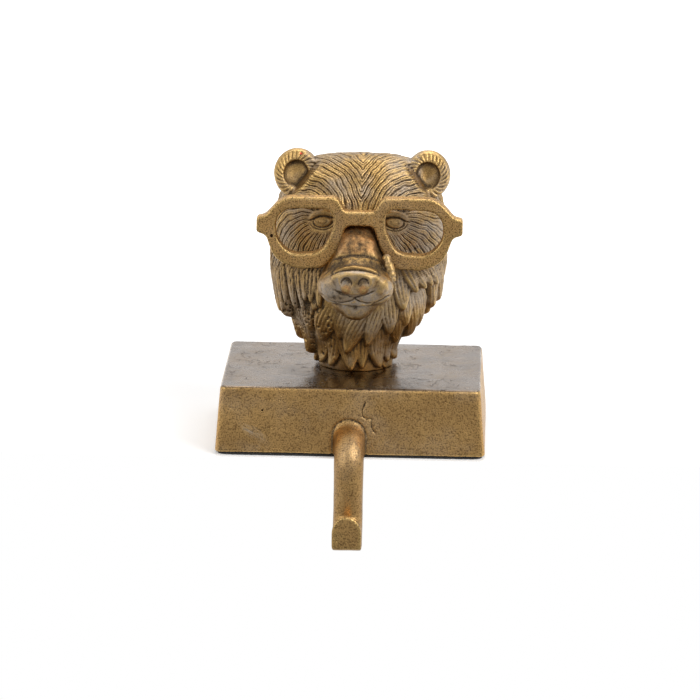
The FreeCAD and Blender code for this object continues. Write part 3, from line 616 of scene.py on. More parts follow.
def strands(points):
    """Grooves between carved pairs of strands, 0 to 1, a random rise per pair, the count of single
    strands up to each point, and which region each point lies in.

    Each region has lines a strand's pitch apart: arcs about the point over each eye on the brow and
    the crown, lines that spread from the inner corner of each eye and bend down below it, and
    upright lines on the cheeks and the nape.
    """
    settings = bpy.context.scene.holder_head
    pitch = settings.strand_pitch / MM
    x, y, height = from_head(points)
    drift = 0.5 * noise(points, 11, 1) + 0.26 * noise(points, 3.6, 2)
    across = np.abs(x)
    turn = np.arctan2(x, -y) / FULL_TURN
    arcs = np.sqrt((np.abs(x - 0.9) - ARCS[0]) ** 2 + (0.8 * (y + 18.2)) ** 2 + (height - ARCS[1]) ** 2)
    reach = np.hypot(across - FAN[0], height - FAN[1])
    bend = np.where(x > 0, 0.085, 0.16) * np.minimum(reach / FAN_REACH, 1.45) ** 4
    fan = (np.arctan2(FAN[1] - height, across - FAN[0]) - bend) * 0.9 * FAN_REACH
    nape = turn * FULL_TURN * HEAD_RADIUS
    upright = nape + np.where(x > 0, 0.75, 0.12) * height * ease(60, 40, height) * (across > 12)
    edge = 1.4 * noise(points, 7, 3)
    region = np.select([np.abs(turn) > 0.27 + 0.01 * edge, height > 79.0 + edge, height > 55 + edge],
                       [3, 0, 1], 2)
    crown = (height > 84) & (y < 12 + 2 * edge)
    region = np.where(crown, 0, region)
    line = np.choose(region, [arcs, fan, upright, nape]) / pitch + drift
    number = np.floor(line).astype(np.int64)
    part = np.abs(2 * (line - number) - 1)
    random = RANDOM[(number * 37 + region * 1009) & LAST_CELL]
    groove = ease(0.2 + 0.35 * random, 1.0, part) * (0.72 + 0.42 * noise(points, 3, 4))
    return groove, random, 2 * line, region


def eye_relief(points):
    """Lids, eyeball and creases of both eyes as a height, and how near a point is to an eye.

    Rings round the eye's middle are measured in shares q of the eyeball's ellipse: the ball is
    sqrt(1 - q^2), creases follow the lower lid, and a deep line under a heavy brow closes it above.
    """
    x, y, height = from_head(points)
    total = np.zeros(len(points))
    near = np.zeros(len(points))
    for side in (-1, 1):
        across = side * x - EYE[0] + 0.5
        up = height - EYE[1] + 0.10 * across
        q = np.hypot(across / 4.2, up / 2.5)
        ball = 0.9 * np.sqrt(np.clip(1 - q ** 2, 0, 1))
        iris = -0.16 * bell(q - 0.46, 0.12) + 0.2 * bell(q, 0.2)
        lower = ease(0.9, -0.6, up) * ease(8.0, 5.5, np.abs(across))
        creases = 0.2 * bell(q - 1.27, 0.12) - 0.36 * bell(q - 1.1, 0.1) - 0.3 * bell(q - 1.46, 0.1)
        line = 0.3 + 2.1 * np.sqrt(np.clip(1 - (np.clip(across, -9, 5) / 6.2) ** 2, 0, 1)) * ease(9.5, 1.5, across)
        off = up - line
        slit = -0.8 * bell(off, 0.34) * ease(10.5, 6.0, across) * ease(-6.5, -4.0, across)
        brow = 0.75 * bell(off - 2.2, 1.8) * ease(8.5, 4.0, across)
        area = ease(8.4, 6.0, np.hypot(across, 1.25 * up)) * (y < -6)
        inner = np.where(off < 0, ball + iris * (q < 1) + lower * creases, 0)
        total += area * (inner + slit + brow)
        near = np.maximum(near, area)
    return total, near


def line_groove(x, height, corners, width):
    """Closeness 0 to 1 to a line through corners (x, height), as a bell over the distance."""
    nearest = np.full(len(x), 1e9)
    for (x0, z0), (x1, z1) in zip(corners, corners[1:]):
        run = np.array([x1 - x0, z1 - z0])
        t = np.clip(((x - x0) * run[0] + (height - z0) * run[1]) / (run @ run), 0, 1)
        nearest = np.minimum(nearest, np.hypot(x - x0 - t * run[0], height - z0 - t * run[1]))
    return bell(nearest, width)


def snout_relief(points):
    """Nostrils, the curved mouth line, the nose pad's V-shaped edge and the fold across the top."""
    x, y, height = from_head(points)
    front = ease(-40, -44, y)
    across = np.abs(x)
    radius = np.hypot((across - NOSTRIL[0]) / 2.6, (height - NOSTRIL[1]) / 3.1)
    floor = 0.1 + 0.9 * ease(48.6, 54.6, height)
    nostrils = -1.2 * floor * np.sqrt(np.clip(1 - radius ** 2, 0, 1))
    arch = -0.75 * bell(radius - 1.0, 0.16) * ease(50.4, 53.0, height)
    lip = -0.9 * line_groove(across, height, LIP_LINE, 0.5)
    pad_edge = -0.55 * line_groove(across, height, PAD_LINE, 0.6) * ease(11.5, 8.0, across)
    bulge = 0.5 * bell(np.hypot(across - NOSTRIL[0], height - 49.4), 1.3)
    seen = seen_height(x, y, height)
    rim = 0.55 * bell(seen - 41.2, 1.2) * ease(12, 9.5, across)
    fold = -0.95 * bell(seen - 43.3, 0.5) * ease(12.5, 10, across)
    edge = -0.5 * bell(seen - 50.1, 0.6) * ease(14, 10, across)
    rugged = 0.24 * noise(points, 3.1, 21) + 0.34 * noise(points, 6.5, 22) + 0.16 * noise(points, 1.4, 23)
    return (front * (nostrils + arch + bulge + lip + pad_edge) + ease(-38, -41, y) * (rim + fold + edge)
            + rugged * ease(-28, -32, y))


def from_ear(points):
    """Outward and upward distances of points from the nearer ear's middle, and ahead or behind its rim."""
    x, y, height = from_head(points)
    up = height - EAR_HEIGHT
    return np.where(x < 0, EARS[-1] - x, x - EARS[1]), up, y - EAR_PLANE - EAR_LEAN * up


def ear_relief(points, normals):
    """Ribs across the flat front of each ear's rim: a wave of the angle about the ear's middle. Also
    how near a point is to an ear."""
    across, up, back = from_ear(points)
    ribs = bpy.context.scene.holder_head.ear_ribs
    radius = np.hypot(across, up)
    angle = np.arctan2(up, across)
    slant = -0.11 * (radius - 8) * np.abs(np.cos(angle))
    wave = 0.5 - 0.5 * np.cos((angle + slant) * ribs + 1.5 * noise(points, 9, 5))
    rim = ease(6.0, 6.8, radius) * ease(11.2, 10.2, radius) * ease(-0.35, -0.7, normals[:, 1])
    near = ease(12.6, 10.8, radius) * ease(7.0, 5.0, back) * ease(-2.2, -0.8, back)
    return -0.4 * rim * near * ease(0.25, 1.0, wave), near


def clear_ears(points):
    """Set back what lies in front of the ears: inside the rim to the ear's own face, and outside it
    to a cone that rises into the skull. The skull stays where it covers the inner lower edge."""
    across, up, back = from_ear(points)
    radius = np.hypot(across, up)
    face = curve([(0, 4.0), (2.6, 3.6), (5.2, 2.6), (5.9, 0.7), (6.8, 0.0), (10.0, 0.0), (12.5, -2.0), (20, -14)],
                 np.minimum(radius, 20))
    lacking = np.where((radius < 18) & (up > -12.5), np.maximum(face - back, 0), 0)
    inward = -0.77 * across - 0.64 * up
    moved = points.copy()
    moved[:, 1] += lacking * ease(18, 13, radius) * ease(-12.5, -9.0, up) * ease(5.6, 3.4, inward)
    return moved


def carve_head(thing):
    """Push the head's vertices along their normals by the sum of all its carving."""
    put_points(thing, clear_ears(points_of(thing)[0]))
    points, normals, edges = points_of(thing)
    x, y, height = from_head(points)
    depth = bpy.context.scene.holder_head.strand_depth / MM
    snout = np.maximum(ease(-28.5, -31.0, y) * ease(37, 40, height) * ease(20.5, 18.5, np.abs(x)),
                       ease(-31.5, -34.0, y) * ease(28, 31, height) * ease(15, 13.5, np.abs(x)))
    groove, random, count, region = strands(points)
    border = np.zeros(len(points), bool)
    border[edges[region[edges[:, 0]] != region[edges[:, 1]]]] = True
    eyes, near_eye = eye_relief(points)
    ribs, near_ear = ear_relief(points, normals)
    furry = (1 - snout) * (1 - near_eye) * (1 - near_ear) * ease(0.5, 5, height)
    beard = ease(55, 46, height)
    cut = furry * (1 - 0.85 * beard) * (depth * (0.35 * random - groove))
    drawn = furry * (1 - beard) * (1 - spread(border[:, None].astype(float), edges, 2)[:, 0].clip(0, 0.4) / 0.4)
    keep(thing, "strand", count)
    keep(thing, "drawn", drawn)
    pitted = ease(38, 30, height) * ease(-8, -14, x) * ease(6, -4, y)
    pits = -0.9 * pitted * (pores(points, 2.6, 0.8, 0.5, 3) + 0.8 * pores(points, 1.9, 0.7, 0.5, 4))
    rough = 0.10 * noise(points, 2.2, 6) + 0.16 * noise(points, 7, 7)
    moved = points + normals * (cut + eyes * (1 - snout) + snout_relief(points) + ribs + pits + rough)[:, None]
    moved[:, 2] = np.clip(moved[:, 2], FOOT[2], FOOT[2] + HEAD_HEIGHT + 1.7)
    put_points(thing, moved)


# Materials


def tree_of(values):
    """The node tree that the sockets among some values lie in."""
    return next(value.id_data for value in values if isinstance(value, bpy.types.NodeSocket))


def node(kind, inputs, tree=None, **settings):
    """A shader node with its settings, each input either linked to a socket or given a value.

    Its tree is that of the sockets, where no tree is given.
    """
    tree = tree or tree_of(inputs.values())
    made = tree.nodes.new("ShaderNode" + kind)
    for key, value in settings.items():
        setattr(made, key, value)
    for key, value in inputs.items():
        if isinstance(value, bpy.types.NodeSocket):
            tree.links.new(value, made.inputs[key])
        else:
            made.inputs[key].default_value = value
    return made


def link(value, socket):
    socket.id_data.links.new(value, socket)


def source(socket):
    """What is linked to an input so far."""
    return socket.links[0].from_socket


def maths(operation, *values):
    return node("Math", dict(enumerate(values)), operation=operation).outputs[0]


def chained(operation):
    """A function that joins sockets and numbers by one math node after another."""
    return lambda *values: functools.reduce(lambda first, second: maths(operation, first, second), values)


times, plus, minus, largest = (chained(kind) for kind in ("MULTIPLY", "ADD", "SUBTRACT", "MAXIMUM"))


def vectors(operation, *values):
    """Vector maths, with a number as result for a length or a distance."""
    made = node("VectorMath", dict(enumerate(values)), operation=operation)
    return made.outputs["Value" if operation in ("LENGTH", "DISTANCE") else "Vector"]


def remap(value, low, high, to_low=0.0, to_high=1.0):
    """Value from low..high eased to a new range."""
    ends = dict(enumerate((value, low, high, to_low, to_high)))
    return node("MapRange", ends, interpolation_type="SMOOTHSTEP").outputs[0]


def blend(share, first, second):
    """Colour that goes from the first to the second by a share."""
    share_at, first_at, second_at = 0, 6, 7
    ends = [value if isinstance(value, bpy.types.NodeSocket) else (*value, 1) for value in (first, second)]
    made = node("Mix", {share_at: share, first_at: ends[0], second_at: ends[1]}, data_type="RGBA")
    return made.outputs[2]


def noise_node(vector, scale, detail=4.0, roughness=0.55, distortion=0.0):
    return node("TexNoise", {"Vector": vector, "Scale": scale, "Detail": detail,
                             "Roughness": roughness, "Distortion": distortion}).outputs["Fac"]


def new_group(name, inputs, outputs):
    """A node group with named float inputs and outputs: its vector, its other inputs and its ends."""
    group = bpy.data.node_groups.new(name, "ShaderNodeTree")
    group.interface.new_socket("Vector", in_out="INPUT", socket_type="NodeSocketVector")
    for label, value in inputs.items():
        group.interface.new_socket(label, in_out="INPUT", socket_type="NodeSocketFloat").default_value = value
    for label in outputs:
        group.interface.new_socket(label, in_out="OUTPUT", socket_type="NodeSocketFloat")
    start = group.nodes.new("NodeGroupInput").outputs
    return start["Vector"], start, group.nodes.new("NodeGroupOutput").inputs


def finish_group(ends, **results):
    for label, value in results.items():
        link(value, ends[label])


def sand_grain_group():
    """Fine grain of the sand mould: two sizes of noise, the specks between the grains, and which
    grains are dark and which are bright."""
    place, start, ends = new_group("sand grain", {"Scale": 2600.0}, ["Height", "Specks", "Low", "High"])
    grain = noise_node(place, start["Scale"], 3.0, 0.65)
    coarse = noise_node(place, times(start["Scale"], 0.3), 3.0, 0.6)
    finish_group(ends, Height=plus(grain, times(coarse, 0.8)), Specks=remap(grain, 0.42, 0.3),
                 Low=remap(grain, 0.51, 0.4), High=remap(grain, 0.49, 0.6))


def pits_group():
    """Scattered casting pits: round spots about random points, kept where a slow noise is high."""
    place, start, ends = new_group("casting pits", {"Scale": 320.0, "Amount": 0.5}, ["Mask"])
    jitter = node("TexNoise", {"Vector": place, "Scale": 900.0}).outputs["Color"]
    moved = vectors("ADD", place, vectors("MULTIPLY", jitter, (PIT_JITTER,) * 3))
    cells = node("TexVoronoi", {"Vector": moved, "Scale": start["Scale"], "Randomness": 1.0})
    slow = noise_node(place, 38.0, 2.0)
    reach = remap(plus(slow, times(start["Amount"], 0.4)), 0.62, 0.85, 0.0, 0.34)
    random = node("SeparateColor", {0: cells.outputs["Color"]}).outputs[0]
    finish_group(ends, Mask=remap(minus(times(reach, random), cells.outputs["Distance"]), 0.0, 0.09))


def wear_group():
    """Where the finish is rubbed bright or stained: ridges against hollows, broken up by noise. On the head the
    hollowness given in also holds painted shade, which comes out with the stain.
    """
    place, start, ends = new_group("rubbed, stained and shaded", {"Hollow": 0.5, "Stain": 0.5, "Rub": 0.5},
                                   ["Stained", "Rubbed", "Bloom"])
    fine = noise_node(place, 420.0, 4.0, 0.6)
    slow = noise_node(place, 55.0, 3.0, 0.55)
    broken = plus(start["Hollow"], maths("MULTIPLY_ADD", fine, 0.34, -0.17))
    drifted = plus(broken, maths("MULTIPLY_ADD", slow, 0.4, -0.2))
    finish_group(ends, Stained=remap(plus(drifted, times(start["Stain"], 0.3)), 0.62, 1.02),
                 Rubbed=remap(minus(drifted, times(start["Rub"], 0.3)), 0.34, 0.02),
                 Bloom=times(remap(slow, 0.45, 0.66), remap(broken, 0.75, 0.45)))


def scratches_group():
    """Thin straight scratches: stretched noise turned three ways, kept where it crosses its middle."""
    place, start, ends = new_group("scratches", {"Amount": 0.5}, ["Mask"])
    thin = []
    for turn, seed in ((0.35, 0.0), (-0.8, 0.05), (1.2, 0.11)):
        turned = node("Mapping", {"Vector": place, "Location": (seed, seed, seed),
                                  "Rotation": (0.0, turn, turn), "Scale": (1400.0, 160.0, 60.0)})
        lines = noise_node(turned.outputs[0], 1.0, 1.0)
        thin.append(remap(maths("ABSOLUTE", minus(lines, 0.5)), 0.012, 0.0))
    patches = remap(noise_node(place, 60.0, 2.0), 0.5, 0.68)
    finish_group(ends, Mask=times(largest(*thin), times(patches, start["Amount"])))


def use_group(name, vector, **values):
    """One of the shared effects, put to use in a material."""
    return node("Group", {"Vector": vector, **values}, node_tree=bpy.data.node_groups[name]).outputs


def shared_groups():
    """The effects that several materials use, each built once."""
    if "sand grain" not in bpy.data.node_groups:
        sand_grain_group()
        pits_group()
        wear_group()
        scratches_group()


def new_material(name):
    """A material, its shader and the place on the object."""
    made = bpy.data.materials.new(name)
    made.use_nodes = True
    place = made.node_tree.nodes.new("ShaderNodeTexCoord").outputs["Object"]
    return made, made.node_tree.nodes["Principled BSDF"], place


def cast_metal(name, stain, rub, bloom, grain, grain_depth, roughness, gold_share, sandy, pitted, lift=0.0):
    """Cast metal with an aged brass finish: stained hollows, rubbed ridges, grain, pits, scratches, and on the head
    painted shade and a painted grey sheen read from its attributes.

    The colours are laid over each other in the order of the list, each by its share.
    """
    colours = bpy.context.scene.holder_finish
    shared_groups()
    made, shader, place = new_material(name)
    hollow, copper, kept_film_and_sheen, strand, drawn = (
        node("Attribute", {}, made.node_tree, attribute_name=label).outputs["Fac"]
        for label in ("hollow", "copper", "film_and_sheen", "strand", "drawn"))
    wear = use_group("rubbed, stained and shaded", place, Hollow=hollow, Stain=stain, Rub=rub)
    sand = use_group("sand grain", place, Scale=grain)
    pits = use_group("casting pits", place, Amount=pitted)["Mask"]
    scratched = use_group("scratches", place, Amount=0.7)["Mask"]
    drift = noise_node(place, 75.0, 5.0, 0.6, 0.4)
    # Real grey bloom, and on the head also a painted grey sheen where the light falls on its right side.
    film_and_sheen = times(largest(times(wear["Bloom"], bloom), kept_film_and_sheen), minus(1.0, copper))
    wave = maths("ABSOLUTE", maths("MULTIPLY_ADD", maths("FRACT", strand), 2.0, -1.0))
    uneven = remap(noise_node(place, 260.0, 3.0, 0.6), 0.35, 0.65, 0.35, 1.0)
    furrow = times(remap(wave, 0.35, 1.0), drawn, uneven)
    base = blend(remap(drift, 0.36, 0.66, 0.0, gold_share), colours.brass, colours.gold)
    coppery = times(copper, remap(drift, 0.3, 0.6, 0.45, 1.0))
    # The dark patina laid by the stain also paints the head's painted shade; the grey bloom colour also paints its
    # painted grey sheen.
    for share, strength, colour in [
            (lift, 1, PALE_BRASS), (coppery, 1, colours.copper), (film_and_sheen, 1, colours.bloom),
            (wear["Rubbed"], 0.85, colours.gold), (wear["Stained"], 0.93, colours.dark),
            (furrow, 0.72, colours.dark), (sand["Low"], 0.62 * sandy, colours.dark),
            (sand["High"], 0.55 * sandy, colours.gold), (sand["Specks"], 0.25, colours.dark),
            (pits, 1, colours.dark), (scratched, 0.6, SCRATCHED)]:
        base = blend(share if strength == 1 else times(share, strength), base, colour)
    link(base, shader.inputs["Base Color"])
    dull = largest(wear["Stained"], film_and_sheen)
    link(remap(dull, 0.0, 1.0, 1.0, 0.5), shader.inputs["Metallic"])
    rough = plus(remap(drift, 0.3, 0.7, roughness - 0.06, roughness + 0.08), times(dull, 0.12))
    link(minus(rough, times(wear["Rubbed"], 0.08)), shader.inputs["Roughness"])
    height = minus(times(sand["Height"], grain_depth), times(pits, 1.6), times(scratched, 0.25), times(furrow, 2.0))
    bump = node("Bump", {"Height": height, "Distance": 0.00016, "Strength": 1.0})
    link(bump.outputs[0], shader.inputs["Normal"])
    return made, shader, place


def lay_over(shader, share, colour):
    """Lay one more colour over what the shader has, by a share."""
    base = shader.inputs["Base Color"]
    link(blend(share, source(base), colour), base)


def glaze_top(shader, place, level):
    """The block's level top: a smooth greyish lacquer with short crooked dark marks.

    The marks are where one noise passes its middle value, kept only where a second noise is high.
    """
    top = remap(node("SeparateXYZ", {0: place}).outputs[2], level - 0.0009, level - 0.0003)
    middle = maths("ABSOLUTE", minus(noise_node(place, 110.0, 3.0, 0.55, 0.5), 0.5))
    marks = times(remap(middle, 0.02, 0.006), remap(noise_node(place, 80.0, 2.0), 0.5, 0.56))
    marks = largest(marks, remap(noise_node(place, 330.0, 1.0), 0.25, 0.21))
    drift = noise_node(place, 60.0, 5.0, 0.6, 0.8)
    lay_over(shader, times(top, remap(drift, 0.35, 0.65, 0.8, 0.97)), LACQUER)
    lay_over(shader, times(marks, remap(top, 0.0, 1.0, 0.2, 0.55)), LACQUER_MARKS)
    rough = shader.inputs["Roughness"]
    link(minus(source(rough), times(top, 0.12)), rough)
    height = source(shader.inputs["Normal"]).node.inputs["Height"]
    link(minus(source(height), times(marks, remap(top, 0.0, 1.0, 0.3, 2.2))), height)
    link(times(top, remap(marks, 0.0, 1.0, 0.4, 0.0)), shader.inputs["Coat Weight"])
    shader.inputs["Coat Roughness"].default_value = 0.16


def pale_scrape(shader, place, middle, half, slope):
    """A patch of pale scraped metal: an ellipse round its middle, sloping, drawn out in faint streaks."""
    turned = node("VectorRotate", {"Vector": place, "Center": middle, "Axis": (0, 1, 0), "Angle": slope}).outputs[0]
    scaled = vectors("DIVIDE", vectors("SUBTRACT", turned, middle), half)
    inside = remap(vectors("LENGTH", scaled), 1.0, 0.2)
    streaks = remap(noise_node(vectors("MULTIPLY", scaled, (1.6, 1.0, 5.5)), 1.0, 4.0, 0.7), 0.38, 0.68)
    lay_over(shader, times(inside, streaks, 0.55), SCRAPED)


def red_speck(shader, place, middle, radius):
    """One small spot of red paint."""
    lay_over(shader, remap(vectors("DISTANCE", place, middle), radius, radius * 0.6), RED_PAINT)


def felt_material():
    """Dense black felt: matted fibres as stretched noise."""
    made, shader, place = new_material("black felt")
    stretched = node("Mapping", {"Vector": place, "Scale": (3500.0, 900.0, 900.0)}).outputs[0]
    fibres = noise_node(stretched, 1.0, 5.0, 0.7)
    felt = bpy.context.scene.holder_finish.felt
    link(blend(remap(fibres, 0.4, 0.7), felt, PALE_FIBRES), shader.inputs["Base Color"])
    shader.inputs["Roughness"].default_value = 0.95
    shader.inputs["Sheen Weight"].default_value = 0.5
    bump = node("Bump", {"Height": fibres, "Distance": 0.0003, "Strength": 0.8})
    link(bump.outputs[0], shader.inputs["Normal"])
    return made


def screw_material():
    """Plated steel with faint turning rings."""
    made, shader, place = new_material("plated steel")
    middle = (-FOOT[0] * MM, -FOOT[1] * MM, 0.0)
    centred = node("Mapping", {"Vector": place, "Location": middle}).outputs[0]
    rings = node("TexWave", {"Vector": centred, "Scale": 900.0, "Distortion": 0.4},
                 wave_type="RINGS", rings_direction="Z").outputs["Fac"]
    link(blend(rings, (0.42, 0.42, 0.44), (0.58, 0.57, 0.56)), shader.inputs["Base Color"])
    link(remap(rings, 0.0, 1.0, 0.28, 0.42), shader.inputs["Roughness"])
    shader.inputs["Metallic"].default_value = 1.0
    return made


# Pieces


def dress(thing, material, replaced):
    """Give a finished piece its material and its place on the part."""
    thing.data.materials.clear()
    thing.data.materials.append(material)
    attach(thing, "root")
    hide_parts(replaced)


def copy_of_node(name, label):
    """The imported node's mesh in a new object, its loose triangles joined."""
    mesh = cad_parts[name].data.copy()
    mesh.name = label
    thing = in_scene(label, mesh)
    weld = thing.modifiers.new("join triangles", "WELD")
    weld.merge_threshold = 1e-5
    settle(thing)
    return thing


def cast_copy(node_name, label, cell, rounds, waves, most, marks=None):
    """A node as the foundry left it: corners softened, faces a little uneven, and its own marks."""
    thing = copy_of_node(node_name, label)
    fuse(thing, cell, rounds)
    points, normals, _ = points_of(thing)
    low, high = (np.array(corner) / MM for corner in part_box(node_name))
    uneven = sum(depth * noise(points, scale, 20 + k) for k, (scale, depth) in enumerate(waves))
    if marks:
        uneven = uneven + marks(points)
    put_points(thing, np.clip(points + normals * uneven[:, None], low, high))
    keep_hollows(thing, cell)
    thin_out(thing, most)
    return thing


def block_marks(points):
    """A crooked flow line on the block's front beside the hook, a groove round the hook's root, and
    a few larger pits."""
    x, y, z = points.T
    near_front = (y > -47).astype(float)
    from_root = np.hypot(x + 0.4, np.maximum(z - 10.2, 0))
    groove = 0.5 * bell(from_root - 8.0, 0.5) * (y < -42)
    pits = 0.5 * pores(points, 9.0, 0.6, 0.3, 9)
    return -near_front * (groove + (y < -40) * (0.55 * line_groove(x, z, FLOW_LINE, 0.45) + pits))


class HOLDER_OT_block_and_hook(bpy.types.Operator):
    """Build the cast block with its hook"""
    bl_idname = "holder.block_and_hook"
    bl_label = "Block and hook"

    def execute(self, context):
        cell = 0.62
        thing = cast_copy("base_with_hook", "block_and_hook", cell, rounds=4,
                          waves=[(38, 0.30), (11, 0.12), (3.2, 0.05)], most=150000, marks=block_marks)
        metal, shader, place = cast_metal("block brass", stain=0.35, rub=0.12, bloom=0.2, grain=1500.0,
                                          grain_depth=0.8, roughness=0.38, gold_share=0.5, sandy=0.8,
                                          pitted=0.15, lift=0.42)
        glaze_top(shader, place, level=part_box("bear_head")[0][2])
        pale_scrape(shader, place, middle=(-0.0452, -0.044, 0.0112), half=(0.0098, 0.006, 0.0036), slope=-0.56)
        dress(thing, metal, "base_with_hook")
        return {"FINISHED"}


class HOLDER_OT_bear_head(bpy.types.Operator):
    """Build the cast bear's head with its carved fur, ears, eyes and muzzle"""
    bl_idname = "holder.bear_head"
    bl_label = "Bear's head"

    def execute(self, context):
        cell = context.scene.holder_head.grain / MM
        forms = [head_skin(), muzzle(), chin(), nose_pad(), ear(-1), ear(1)]
        forms += [lock(*values) for values in FRONT_LOCKS] + bunches_of_locks() + rows_of_locks()
        forms += blobs(CHEEKS + BRAZE)
        thing = new_object("bear_head_casting", *joined(forms))
        fuse(thing, cell, 2)
        carve_head(thing)
        keep_hollows(thing, cell)
        keep_tones(thing)
        thin_out(thing, 190000)
        metal, shader, place = cast_metal("head brass", stain=0.42, rub=0.32, bloom=0.6, grain=1700.0,
                                          grain_depth=0.75, roughness=0.38, gold_share=0.42, sandy=0.45,
                                          pitted=0.12)
        red_speck(shader, place, middle=(-0.0259, 0.0015, 0.1357), radius=0.0011)
        dress(thing, metal, "bear_head")
        return {"FINISHED"}


class HOLDER_OT_spectacles(bpy.types.Operator):
    """Build the cast spectacles"""
    bl_idname = "holder.spectacles"
    bl_label = "Spectacles"

    def execute(self, context):
        cell = 0.36
        thing = cast_copy("spectacles", "spectacles_casting", cell, rounds=5,
                          waves=[(14, 0.22), (5, 0.10), (1.6, 0.04)], most=90000)
        metal, _, _ = cast_metal("spectacles brass", stain=0.3, rub=0.2, bloom=0.2, grain=1500.0,
                                 grain_depth=1.0, roughness=0.46, gold_share=0.45, sandy=1.15,
                                 pitted=0.45, lift=0.6)
        dress(thing, metal, "spectacles")
        return {"FINISHED"}


class HOLDER_OT_felt_and_screw(bpy.types.Operator):
    """Build the felt under the block, with its loose fibres, and finish the screw"""
    bl_idname = "holder.felt_and_screw"
    bl_label = "Felt and screw"

    def execute(self, context):
        low, high = (np.array(corner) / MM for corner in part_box("felt_pad"))
        thing = new_object("felt_sheet", *joined([felt_slab(low, high)] + felt_fibres(low, high)))
        thing.data.shade_smooth()
        dress(thing, felt_material(), "felt_pad")
        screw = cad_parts["head_screw"]
        screw.data.materials.clear()
        screw.data.materials.append(screw_material())
        return {"FINISHED"}


def felt_slab(low, high):
    """A rounded rectangle whose edge wanders by a fifth of a millimetre and bulges at half height."""
    half = (high - low)[:2] / 2
    around = 720
    outline = np.stack([signed_power(wave(circle(around)), 2 / 24) * side
                        for wave, side in zip((np.cos, np.sin), half)], -1)
    level = np.array([0.0, 0.06, 0.3, 0.7, 0.94, 1.0])[:, None]
    height = level * (high[2] - low[2]) + low[2]
    pull = np.array([2.0, 0.25, 0.05, 0.05, 0.25, 2.0])[:, None]
    flat = np.concatenate([np.broadcast_to(outline, (6, around, 2)), np.zeros((6, around, 1))], -1)
    wander = 0.2 * noise(flat + np.array([0, 0, 1.0]), 1.3, 8) - 0.2
    rings = outline * (1 + (wander - pull)[..., None] / half) + (high + low)[:2] / 2
    return closed_form(np.concatenate([rings, np.broadcast_to(height, (6, around))[..., None]], -1))


def felt_fibres(low, high):
    """Loose fibres at the felt's edge: three-sided needles, each bent once on its way out."""
    count = 900
    side = rng.random(count) * 4
    place = rng.uniform(-1, 1, count)
    half = (high - low)[:2] / 2 - 0.3
    along_x = (side < 2)[:, None]
    sign = np.where(side % 2 < 1, -1.0, 1.0)
    root = np.where(along_x, np.stack([place * (half[0] - 2.5), sign * half[1]], -1),
                    np.stack([sign * half[0], place * (half[1] - 2.5)], -1))
    out = np.where(along_x, np.stack([0 * place, sign], -1), np.stack([sign, 0 * place], -1))
    slip = np.stack([-out[:, 1], out[:, 0]], -1) * rng.uniform(-0.9, 0.9, (count, 1))
    length = rng.uniform(0.25, 0.85, (count, 1))
    level = rng.uniform(0.2, high[2] - 0.1, count)
    spine = []
    for k, share in enumerate((-0.4, 0.45, 1.0)):
        flat = root + (out + slip * (0.3 + 0.35 * k)) * share * length
        height = np.clip(level + (k / 2) ** 2 * rng.uniform(-0.4, 0.15, count), 0.08, None)
        spine.append(np.column_stack([flat, height]))
    angle = circle(3)[0]
    section = np.stack([np.cos(angle), 0.4 * np.cos(angle), np.sin(angle)], -1)
    thick = np.array([0.05, 0.04, 0.012])[:, None, None]
    return [closed_form(line[:, None, :] + thick * section) for line in np.stack(spine, 1)]


class HOLDER_OT_stage(bpy.types.Operator):
    """Build the plain shelf, the lamps, the world and the camera"""
    bl_idname = "holder.stage"
    bl_label = "Stage"

    def execute(self, context):
        settings = context.scene.holder_stage
        add_shelf(settings)
        add_lamps()
        add_world()
        add_camera(settings)
        context.scene.view_settings.view_transform = "Standard"
        return {"FINISHED"}


def add_shelf(settings):
    """A plain pale shelf, a level top whose front edge lies just behind the hook. It is lit like
    the white behind it, except near the object, where shadows show."""
    side, back = 1.8, 1.6
    mesh = bpy.data.meshes.new("shelf")
    mesh.from_pydata([(-side, SHELF_EDGE, 0), (side, SHELF_EDGE, 0), (side, back, 0), (-side, back, 0)],
                     [], [(0, 1, 2, 3)])
    shelf = in_scene("shelf", mesh)
    made, shader, place = new_material("plain shelf")
    shader.inputs["Base Color"].default_value = (*settings.shelf_colour, 1)
    shader.inputs["Roughness"].default_value = 0.9
    rays = node("LightPath", {}, made.node_tree).outputs
    seen = largest(rays["Is Camera Ray"], rays["Is Glossy Ray"])
    glow = node("Emission", {"Color": WHITE, "Strength": times(
        seen, remap(vectors("LENGTH", place), 0.25, 0.6, 0.3, 1.0))})
    both = node("AddShader", {0: shader.outputs[0], 1: glow.outputs[0]})
    link(both.outputs[0], made.node_tree.nodes["Material Output"].inputs["Surface"])
    mesh.materials.append(made)


def add_lamps():
    """Soft boxes: a large one above and in front on the right, a weaker one left, one above behind."""
    for name, place, size, power in [("key", (1.15, -0.95, 1.25), 1.0, 17.0),
                                     ("fill", (-1.25, -1.0, 0.8), 0.9, 5.0),
                                     ("top", (0.1, 0.7, 1.5), 1.0, 10.0)]:
        light = bpy.data.lights.new(name, "AREA")
        light.size = size
        light.energy = power
        lamp = in_scene(name, light)
        lamp.location = place
        lamp.rotation_euler = (-lamp.location).to_track_quat("-Z", "Y").to_euler()


def add_world():
    """White behind the object and in its reflections from above, a soft grey light all round."""
    world = bpy.data.worlds.new("studio")
    bpy.context.scene.world = world
    world.use_nodes = True
    tree = world.node_tree
    rays = node("LightPath", {}, tree).outputs
    way = node("TexCoord", {}, tree).outputs["Generated"]
    _, behind, up = node("SeparateXYZ", {0: way}).outputs
    glossy = times(remap(behind, -0.75, 0.35, 0.52, 1.0), remap(up, -0.55, 0.1, 0.62, 1.0))
    plain = minus(1.0, largest(rays["Is Camera Ray"], rays["Is Glossy Ray"]))
    strength = plus(rays["Is Camera Ray"], times(rays["Is Glossy Ray"], glossy), times(plain, 0.42))
    link(strength, tree.nodes["Background"].inputs["Strength"])
    tree.nodes["Background"].inputs["Color"].default_value = WHITE


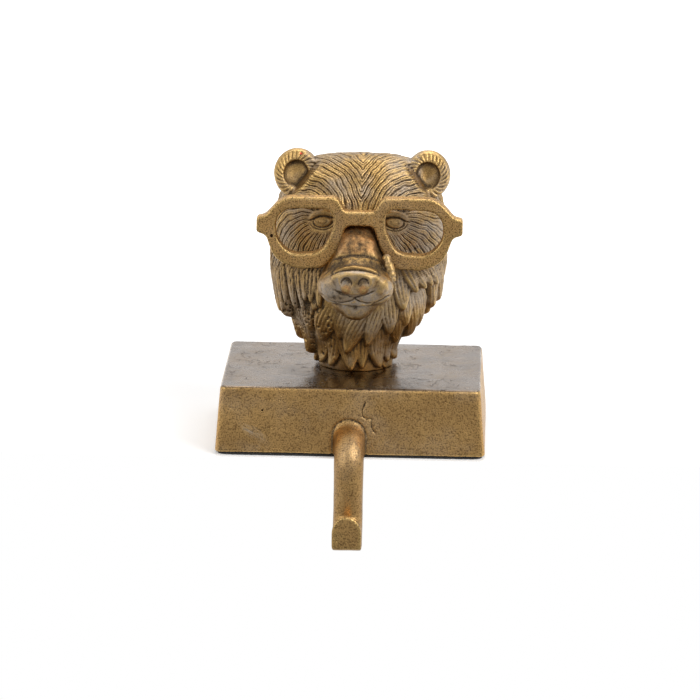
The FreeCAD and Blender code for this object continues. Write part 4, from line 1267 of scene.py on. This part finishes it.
def add_camera(settings):
    """Looks at the middle of the object from in front and above, a little from the right."""
    pitch, swing, roll = settings.pitch, settings.swing, settings.roll
    back = np.array([math.sin(swing) * math.cos(pitch), -math.cos(swing) * math.cos(pitch), math.sin(pitch)])
    right = np.array([math.cos(swing), math.sin(swing), 0.0])
    up = np.cross(back, right)
    place = np.eye(4)
    place[:3, :3] = np.stack([math.cos(roll) * right + math.sin(roll) * up,
                              math.cos(roll) * up - math.sin(roll) * right, back], 1)
    place[:3, 3] = AIM + back * settings.distance
    data = bpy.data.cameras.new("camera")
    data.lens = settings.lens
    data.sensor_width = 36.0
    camera = in_scene("camera", data)
    camera.matrix_world = Matrix(place.tolist())
    bpy.context.scene.camera = camera


class HOLDER_PT_panel(bpy.types.Panel):
    """Lists the pieces that can be built"""
    bl_idname = "HOLDER_PT_panel"
    bl_label = "Stocking Holder"
    bl_space_type = "VIEW_3D"
    bl_region_type = "UI"
    bl_category = "Stocking Holder"

    def draw(self, context):
        column = self.layout.column()
        for operator in OPERATORS:
            column.operator(operator.bl_idname)
        for label, kind in SETTINGS.items():
            for name in kind.__annotations__:
                column.prop(getattr(context.scene, label), name)


OPERATORS = (HOLDER_OT_stage, HOLDER_OT_block_and_hook, HOLDER_OT_bear_head, HOLDER_OT_spectacles,
             HOLDER_OT_felt_and_screw)
CLASSES = (HeadSettings, FinishSettings, StageSettings, *OPERATORS, HOLDER_PT_panel)
SETTINGS = {"holder_head": HeadSettings, "holder_finish": FinishSettings, "holder_stage": StageSettings}


def register():
    for kind in CLASSES:
        bpy.utils.register_class(kind)
    for name, kind in SETTINGS.items():
        setattr(bpy.types.Scene, name, bpy.props.PointerProperty(type=kind))


def unregister():
    for name in SETTINGS:
        delattr(bpy.types.Scene, name)
    for kind in reversed(CLASSES):
        bpy.utils.unregister_class(kind)


def main():
    register()
    bpy.ops.holder.stage()
    bpy.ops.holder.block_and_hook()
    bpy.ops.holder.bear_head()
    bpy.ops.holder.spectacles()
    bpy.ops.holder.felt_and_screw()


if __name__ == "__main__":
    main()
